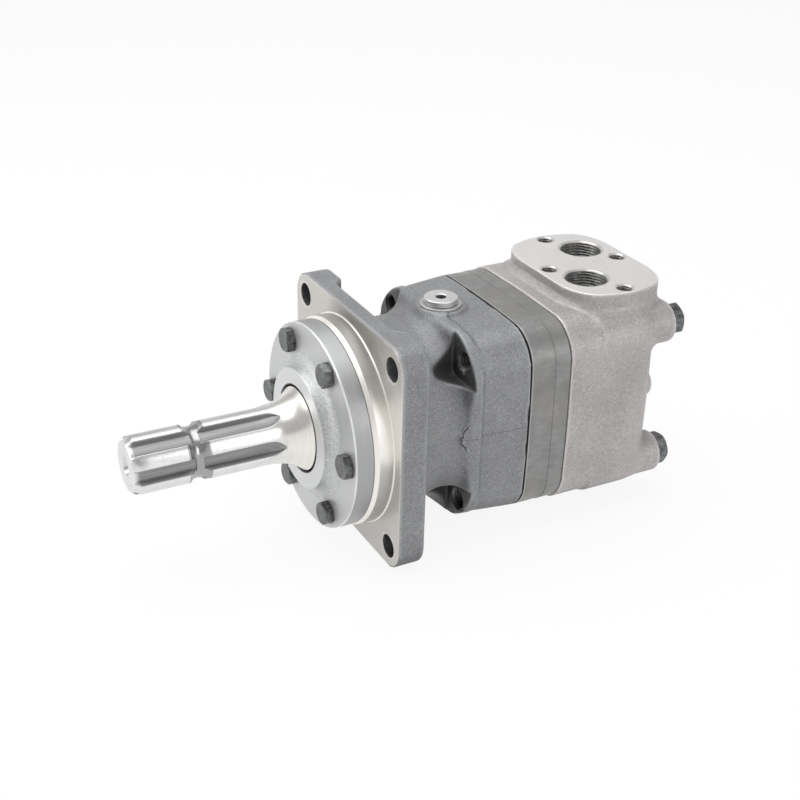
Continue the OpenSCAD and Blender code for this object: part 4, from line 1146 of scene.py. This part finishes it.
class MOTOR_OT_inside(LooksOperator, bpy.types.Operator):
    """Finishes of the seals, bearings, gear set and valve parts, kept as packed"""

    bl_idname = "motor.inside"
    bl_label = "Inner parts"

    def execute(self, context):
        steel = ground_metal("bearing_steel", (0.6, 0.61, 0.63), rough=0.22, along=(1, 0.1, 1))
        finishes = {
            "black_rubber": soft_rubber("black_rubber", (0.02, 0.02, 0.02)),
            "brown_rubber": soft_rubber("brown_rubber", (0.12, 0.05, 0.03)),
            "ground_steel": steel,
            "pressed_cage": ground_metal("cage_steel", (0.42, 0.38, 0.3), rough=0.35),
            "drive_steel": ground_metal("drive_steel", (0.3, 0.3, 0.32), rough=0.42),
            "valve_iron": turned_metal("valve_iron", (0.4, 0.4, 0.41)),
        }
        slots = {s["node"]: s["material_slot"] for s in frame["record"]["subparts"]}
        for node, obj in frame["nodes"].items():
            if slots[node] in finishes:
                obj.data.materials.clear()
                obj.data.materials.append(finishes[slots[node]])
        return {"FINISHED"}


class MOTOR_OT_studio(LooksOperator, bpy.types.Operator):
    """Camera at the photograph's angle, pale floor and soft lamps"""

    bl_idname = "motor.studio"
    bl_label = "Studio"

    def execute(self, context):
        studio = self.studio
        context.scene.view_settings.view_transform = "Standard"
        make_camera(studio.lens)
        make_floor(studio.background)
        make_world(studio.world)
        make_lamp("key_lamp", (-0.25, 0.0, 1.1), (0, 0.05, 0), 1.2, 1.2, studio.key)
        make_lamp("front_lamp", (-0.5, -1.1, 0.55), (0, 0, 0), 0.9, 0.9, studio.fill)
        make_lamp("side_lamp", (1.26, 0.62, 0.71), (0, -0.05, 0), 0.5, 0.8, studio.side)
        return {"FINISHED"}


class MOTOR_PT_looks(bpy.types.Panel):
    """Sizes, colours and pieces of the orbital motor"""

    bl_idname = "MOTOR_PT_looks"
    bl_label = "Orbital motor"
    bl_space_type = "VIEW_3D"
    bl_region_type = "UI"
    bl_category = "Orbital motor"

    def draw(self, context):
        for group in (context.scene.motor_metals, context.scene.motor_studio):
            box = self.layout.box()
            for key in group.__annotations__:
                box.prop(group, key)
        for operator in OPERATORS:
            self.layout.operator(operator.bl_idname)


# Finishes of single pieces

def spigot_metal(colour):
    """Turned spigot: satin wall with broad stains, painted sheen, and painted highlights on the
    chamfer at its front and the fillet at its root.
    """
    n = Nodes("spigot_satin", colour)
    axes = n.axes()
    rings = n.noise(1.0, 2.0, 0.6, vector=ring_vector(n, axes))
    stain = n.noise(22, 3.0, 0.6)
    base = n.tones(rings, (0.3, 0.9), (0.7, 1.08))
    base = n.tint(n.ramp(stain, (0.42, 0.55), (0.56, 0.0)), base, 0.72)
    # Painted sheen: lighter and darker sectors round the axis
    base = sheen(n, axes, base, colour, bright=0.95)
    # Painted highlights along the front chamfer and the root fillet
    chamfer = n.within(axes[1], SPIGOT_Y * MM + 0.0001, SPIGOT_Y * MM + 0.0026, 0.00012)
    root = n.within(axes[1], -0.0008, 0.0002, 0.0001)
    bright = n.maths("MAXIMUM", chamfer, root)
    base = n.tint(bright, base, 1.45)
    rough = n.mix(bright, n.ramp(rings, (0.3, 0.4), (0.7, 0.5)), 0.3)
    metallic = n.ramp(bright, (0.0, 0.75), (1.0, 0.5))
    return n.finish(base, rough, n.bump(rings, 0.2, 0.0001), metallic)


def plate_metal(colour):
    """Ground plates: fine marks round them, brown and grey stains, a painted highlight on the
    ring's front edge and painted shade in the joints.
    """
    n = Nodes("plate_steel", colour)
    y = n.axes()[1]
    marks = n.noise(420, 3.0, 0.6, vector=n.stretch((1.0, 0.3, 1.0)))
    stain = n.noise(60, 4.0, 0.65)
    tint = n.noise(28, 3.0, 0.5)
    base = n.tones(marks, (0.3, 0.88), (0.7, 1.12))
    brown = tuple(c * k for c, k in zip(colour, (1.0, 0.93, 0.86)))
    base = n.mix(n.ramp(tint, (0.42, 0.0), (0.6, 0.75)), base, brown)
    base = n.tint(n.ramp(stain, (0.38, 0.45), (0.52, 0.0)), base, 0.74)
    base = n.tint(n.ramp(stain, (0.56, 0.0), (0.68, 0.4)), base, 1.35)
    # Painted highlight along the front edge of the gear ring, just behind the joint
    lip = n.within(y, RING_Y * MM + 0.0008, RING_Y * MM + 0.0014, 0.0002)
    base = n.tint(n.times(lip, 0.8), base, 1.7)
    # Painted shade: near-black bands at the joint before the gear ring and behind the channel
    # plate
    front = n.within(y, RING_Y * MM - 0.001, RING_Y * MM + 0.00065, 0.00012)
    rear = n.within(y, REAR_Y * MM - 0.0004, REAR_Y * MM + 0.001, 0.0001)
    base = n.mix(n.maths("MAXIMUM", front, rear), base, (0.015, 0.015, 0.016))
    rough = n.ramp(stain, (0.3, 0.52), (0.7, 0.36))
    return n.finish(base, rough, n.bump(marks, 0.2, 0.0001), 0.55)


def thread_metal(name, colour, axis, dark_at, bright_at):
    """Cut thread: bright at the mouth, with painted shade that darkens it down to a given place
    along an axis.
    """
    n = Nodes(name, colour)
    axes = n.axes()
    # Painted shade: the thread is painted darker deeper down its hole, from bright_at to dark_at
    open_share = n.step(axes[axis], min(dark_at, bright_at), max(dark_at, bright_at))
    if dark_at > bright_at:
        open_share = n.rest(open_share)
    streaks = n.noise(500, 3.0, 0.6)
    bright = n.tones(streaks, (0.35, 0.92), (0.65, 1.04))
    deep = n.tones(streaks, (0.35, 0.2), (0.65, 0.36))
    base = n.mix(n.maths("POWER", open_share, 2.0), deep, bright)
    return n.finish(base, 0.34, n.bump(streaks, 0.1, 0.00005), 0.8)


def cover_metal(colour):
    """Front cover: pale turned boss face, sparkling blend, matte face with a painted highlight on
    its edge, painted shade round the shaft.
    """
    n = Nodes("front_cover_metal", colour)
    axes = n.axes()
    radius = n.radius(axes)
    rings = n.noise(1.0, 3.0, 0.65, vector=ring_vector(n, axes))
    grain = n.noise(1500, 3.0, 0.65)
    specks = n.cells(1100)
    turned = n.tones(rings, (0.3, 0.93), (0.7, 1.07))
    pale = n.tones(rings, (0.3, 1.1), (0.7, 1.25))
    rough_cast = n.tones(grain, (0.35, 0.7), (0.7, 1.35))
    past_boss = n.step(radius, 0.0359, 0.0362)
    on_blend = n.times(past_boss, n.rest(n.step(radius, 0.0444, 0.0449)))
    base = n.mix(n.rest(past_boss), turned, pale)
    base = n.mix(on_blend, base, rough_cast)
    on_rim = n.step(axes[1], COVER_Y * MM + 0.0009, COVER_Y * MM + 0.0013)
    base = n.mix(on_rim, base, n.tones(rings, (0.3, 0.64), (0.7, 0.74)))
    # Painted highlight along the front edge of the rim, patchy where the edge is worn
    lip = n.within(axes[1], COVER_Y * MM + 0.00015, COVER_Y * MM + 0.0008, 0.0001)
    worn = n.ramp(n.noise(35, 2.0), (0.42, 0.1), (0.6, 0.7))
    lip = n.times(n.times(lip, worn), n.step(radius, 0.0600, 0.0606))
    base = n.tint(lip, base, 1.6)
    # Painted shade of the gap round the shaft: the bore is painted nearly black
    mouth = n.rest(n.step(radius, 0.0265, 0.0269))
    base = n.tint(mouth, base, 0.1)
    # Painted shade in inner corners and holes
    base = n.tint(occlusion_shade(n, 0.008), base, 0.25)
    rough = n.mix(on_blend, n.ramp(rings, (0.3, 0.38), (0.7, 0.5)), 0.5)
    height = n.mix(on_blend, rings, n.mix(0.5, grain, specks))
    return n.finish(base, rough, n.bump(height, 0.5, 0.0003), 0.75)


def bolt_metal(name, colour):
    """Blackened bolt: cloudy oxide with a fine grain, worn bright along its edges."""
    n = Nodes(name, colour)
    cloud = n.noise(380, 4.0, 0.65)
    grain = n.noise(2200, 2.0, 0.6)
    base = n.tones(cloud, (0.34, 0.5), (0.66, 1.7))
    edge = n.add("ShaderNodeBevel", samples=4, Radius=0.0005).outputs[0]
    flat = n.add("ShaderNodeNewGeometry").outputs["Normal"]
    dot = n.add("ShaderNodeVectorMath", operation="DOT_PRODUCT")
    for slot, value in zip(dot.inputs, (edge, flat)):
        n.set(slot, value)
    worn = n.ramp(dot.outputs["Value"], (0.90, 0.8), (0.99, 0.0))
    base = n.tint(worn, base, 3.0)
    rough = n.ramp(cloud, (0.3, 0.3), (0.7, 0.48))
    bump = n.bump(grain, 0.3, 0.0001, Normal=edge)
    return n.finish(base, rough, bump, 0.85)


def shaft_metal(colour):
    """Polished steel with fine marks round it; the spline spaces are milled along and darker,
    both for that finish and as painted shade.
    """
    n = Nodes("shaft_steel", colour)
    axes = n.axes()
    rings = n.noise(1.0, 2.0, 0.6, vector=ring_vector(n, axes, across=1800.0))
    streaks = n.noise(60, 3.0, 0.6, vector=n.stretch((1.0, 0.12, 1.0)))
    milled = n.noise(900, 3.0, 0.65, vector=n.stretch((1.0, 0.02, 1.0)))
    space = n.attribute("space")
    groove = n.within(axes[1], -0.1026, -0.0894, 0.0003)
    warm = n.step(axes[1], -0.062, -0.032)
    base = n.tones(streaks, (0.3, 0.85), (0.7, 1.1))
    base = n.mix(n.times(warm, 0.7), base, (0.86, 0.83, 0.77))
    base = n.tint(n.ramp(rings, (0.35, 0.2), (0.6, 0.0)), base, 0.65)
    base = n.tint(n.times(groove, 0.85), base, 0.4)
    # Spline spaces: milled finish, painted darker partly as shade between the teeth
    floor = n.tones(milled, (0.3, 0.27), (0.7, 0.48))
    base = n.mix(space, base, floor)
    # Painted shade in inner corners and holes
    base = n.tint(occlusion_shade(n, 0.006), base, 0.3)
    rough = n.ramp(streaks, (0.3, 0.24), (0.7, 0.34))
    rough = n.mix(space, rough, n.ramp(milled, (0.3, 0.42), (0.7, 0.55)))
    height = n.mix(space, rings, milled)
    return n.finish(base, rough, n.bump(height, 0.15, 0.00006), 1.0)


# Studio

def make_camera(lens):
    """Camera where the photograph was taken from, rolled by a degree and a half."""
    azimuth, elevation, roll = (math.radians(a) for a in CAMERA_TURNS)
    back = Vector((math.sin(azimuth) * math.cos(elevation),
                   -math.cos(azimuth) * math.cos(elevation), math.sin(elevation)))
    right = Vector((math.cos(azimuth), math.sin(azimuth), 0))
    up = back.cross(right)
    across = math.cos(roll) * right + math.sin(roll) * up
    upward = -math.sin(roll) * right + math.cos(roll) * up
    data = bpy.data.cameras.new("photo_camera")
    data.sensor_width, data.lens, data.clip_end = 36.0, lens, 20.0
    camera = add_to_scene("photo_camera", data)
    matrix = Matrix((across, upward, back)).transposed().to_4x4()
    matrix.translation = Vector(CAMERA_PLACE)
    camera.matrix_world = matrix
    bpy.context.scene.camera = camera


def white_for_camera(n, share):
    """Adds plain light to what the camera, reflections and glass see of a surface."""
    path = n.add("ShaderNodeLightPath").outputs
    seen = n.maths("MAXIMUM", path["Is Camera Ray"], n.maths(
        "MAXIMUM", path["Is Glossy Ray"], path["Is Transmission Ray"]))
    glow = n.add("ShaderNodeEmission", Color=(1, 1, 1, 1))
    n.show("Material Output", n.times(seen, share), n.tree.nodes["Principled BSDF"], glow)


def make_floor(colour):
    """Round pale floor just under the flange that rises in a curve behind the motor."""
    bend = np.linspace(0.05, 1.57, 24)
    radii = np.concatenate([np.linspace(0.0005, 2.0, 24), 2.0 + np.sin(bend)])
    heights = np.concatenate([np.zeros(24), 1.0 - np.cos(bend)])
    points = lathe_points(np.stack([radii / MM, heights / MM], axis=-1), SMALL_ROUND)
    points = np.stack([points[..., 0], points[..., 2], points[..., 1] + FLOOR_Z], axis=-1)
    faces = grid_faces(*points.shape[:2], False).tolist()
    floor = make_object("studio_floor", points.reshape(-1, 3), faces, 0, outward=False)
    n = Nodes("studio_floor", colour)
    n.finish(n.ramp(n.noise(3.0), (0.3, scaled(colour, 0.995)), (0.7, colour)), 0.9, None, 0.0)
    white_for_camera(n, 0.9)
    floor.data.materials.append(n.owner)


def make_world(strength):
    """Soft surroundings: white above, greyer towards the floor; the camera sees plain white."""
    world = bpy.data.worlds.new("studio_world")
    bpy.context.scene.world = world
    n = Nodes("studio_world", owner=world)
    height = n.axes(n.place["Generated"])[2]
    sky = n.ramp(height, (0.0, (0.35, 0.35, 0.36)), (0.6, 1.0))
    soft = n.add("ShaderNodeBackground", Color=sky, Strength=strength)
    plain = n.add("ShaderNodeBackground", Color=(1, 1, 1, 1))
    seen = n.add("ShaderNodeLightPath").outputs["Is Camera Ray"]
    n.show("World Output", seen, soft, plain)


def make_lamp(name, place, target, width, height, power):
    """Rectangular lamp that faces the target."""
    data = bpy.data.lights.new(name, "AREA")
    data.shape, data.size, data.size_y, data.energy = "RECTANGLE", width, height, power
    lamp = add_to_scene(name, data)
    lamp.location = place
    lamp.rotation_euler = (Vector(target) - Vector(place)).to_track_quat("-Z", "Y").to_euler()


OPERATORS = (
    MOTOR_OT_studio, MOTOR_OT_housing, MOTOR_OT_front_cover, MOTOR_OT_shaft, MOTOR_OT_plates,
    MOTOR_OT_end_cover, MOTOR_OT_rear_bolts, MOTOR_OT_drain, MOTOR_OT_inside,
)
CLASSES = (StudioSettings, MetalSettings, *OPERATORS, MOTOR_PT_looks)


def register():
    for cls in CLASSES:
        bpy.utils.register_class(cls)
    bpy.types.Scene.motor_studio = bpy.props.PointerProperty(type=StudioSettings)
    bpy.types.Scene.motor_metals = bpy.props.PointerProperty(type=MetalSettings)


def unregister():
    del bpy.types.Scene.motor_metals
    del bpy.types.Scene.motor_studio
    for cls in reversed(CLASSES):
        bpy.utils.unregister_class(cls)


def main():
    register()
    for operator in OPERATORS:
        group, name = operator.bl_idname.split(".")
        getattr(getattr(bpy.ops, group), name)()


if __name__ == "__main__":
    main()
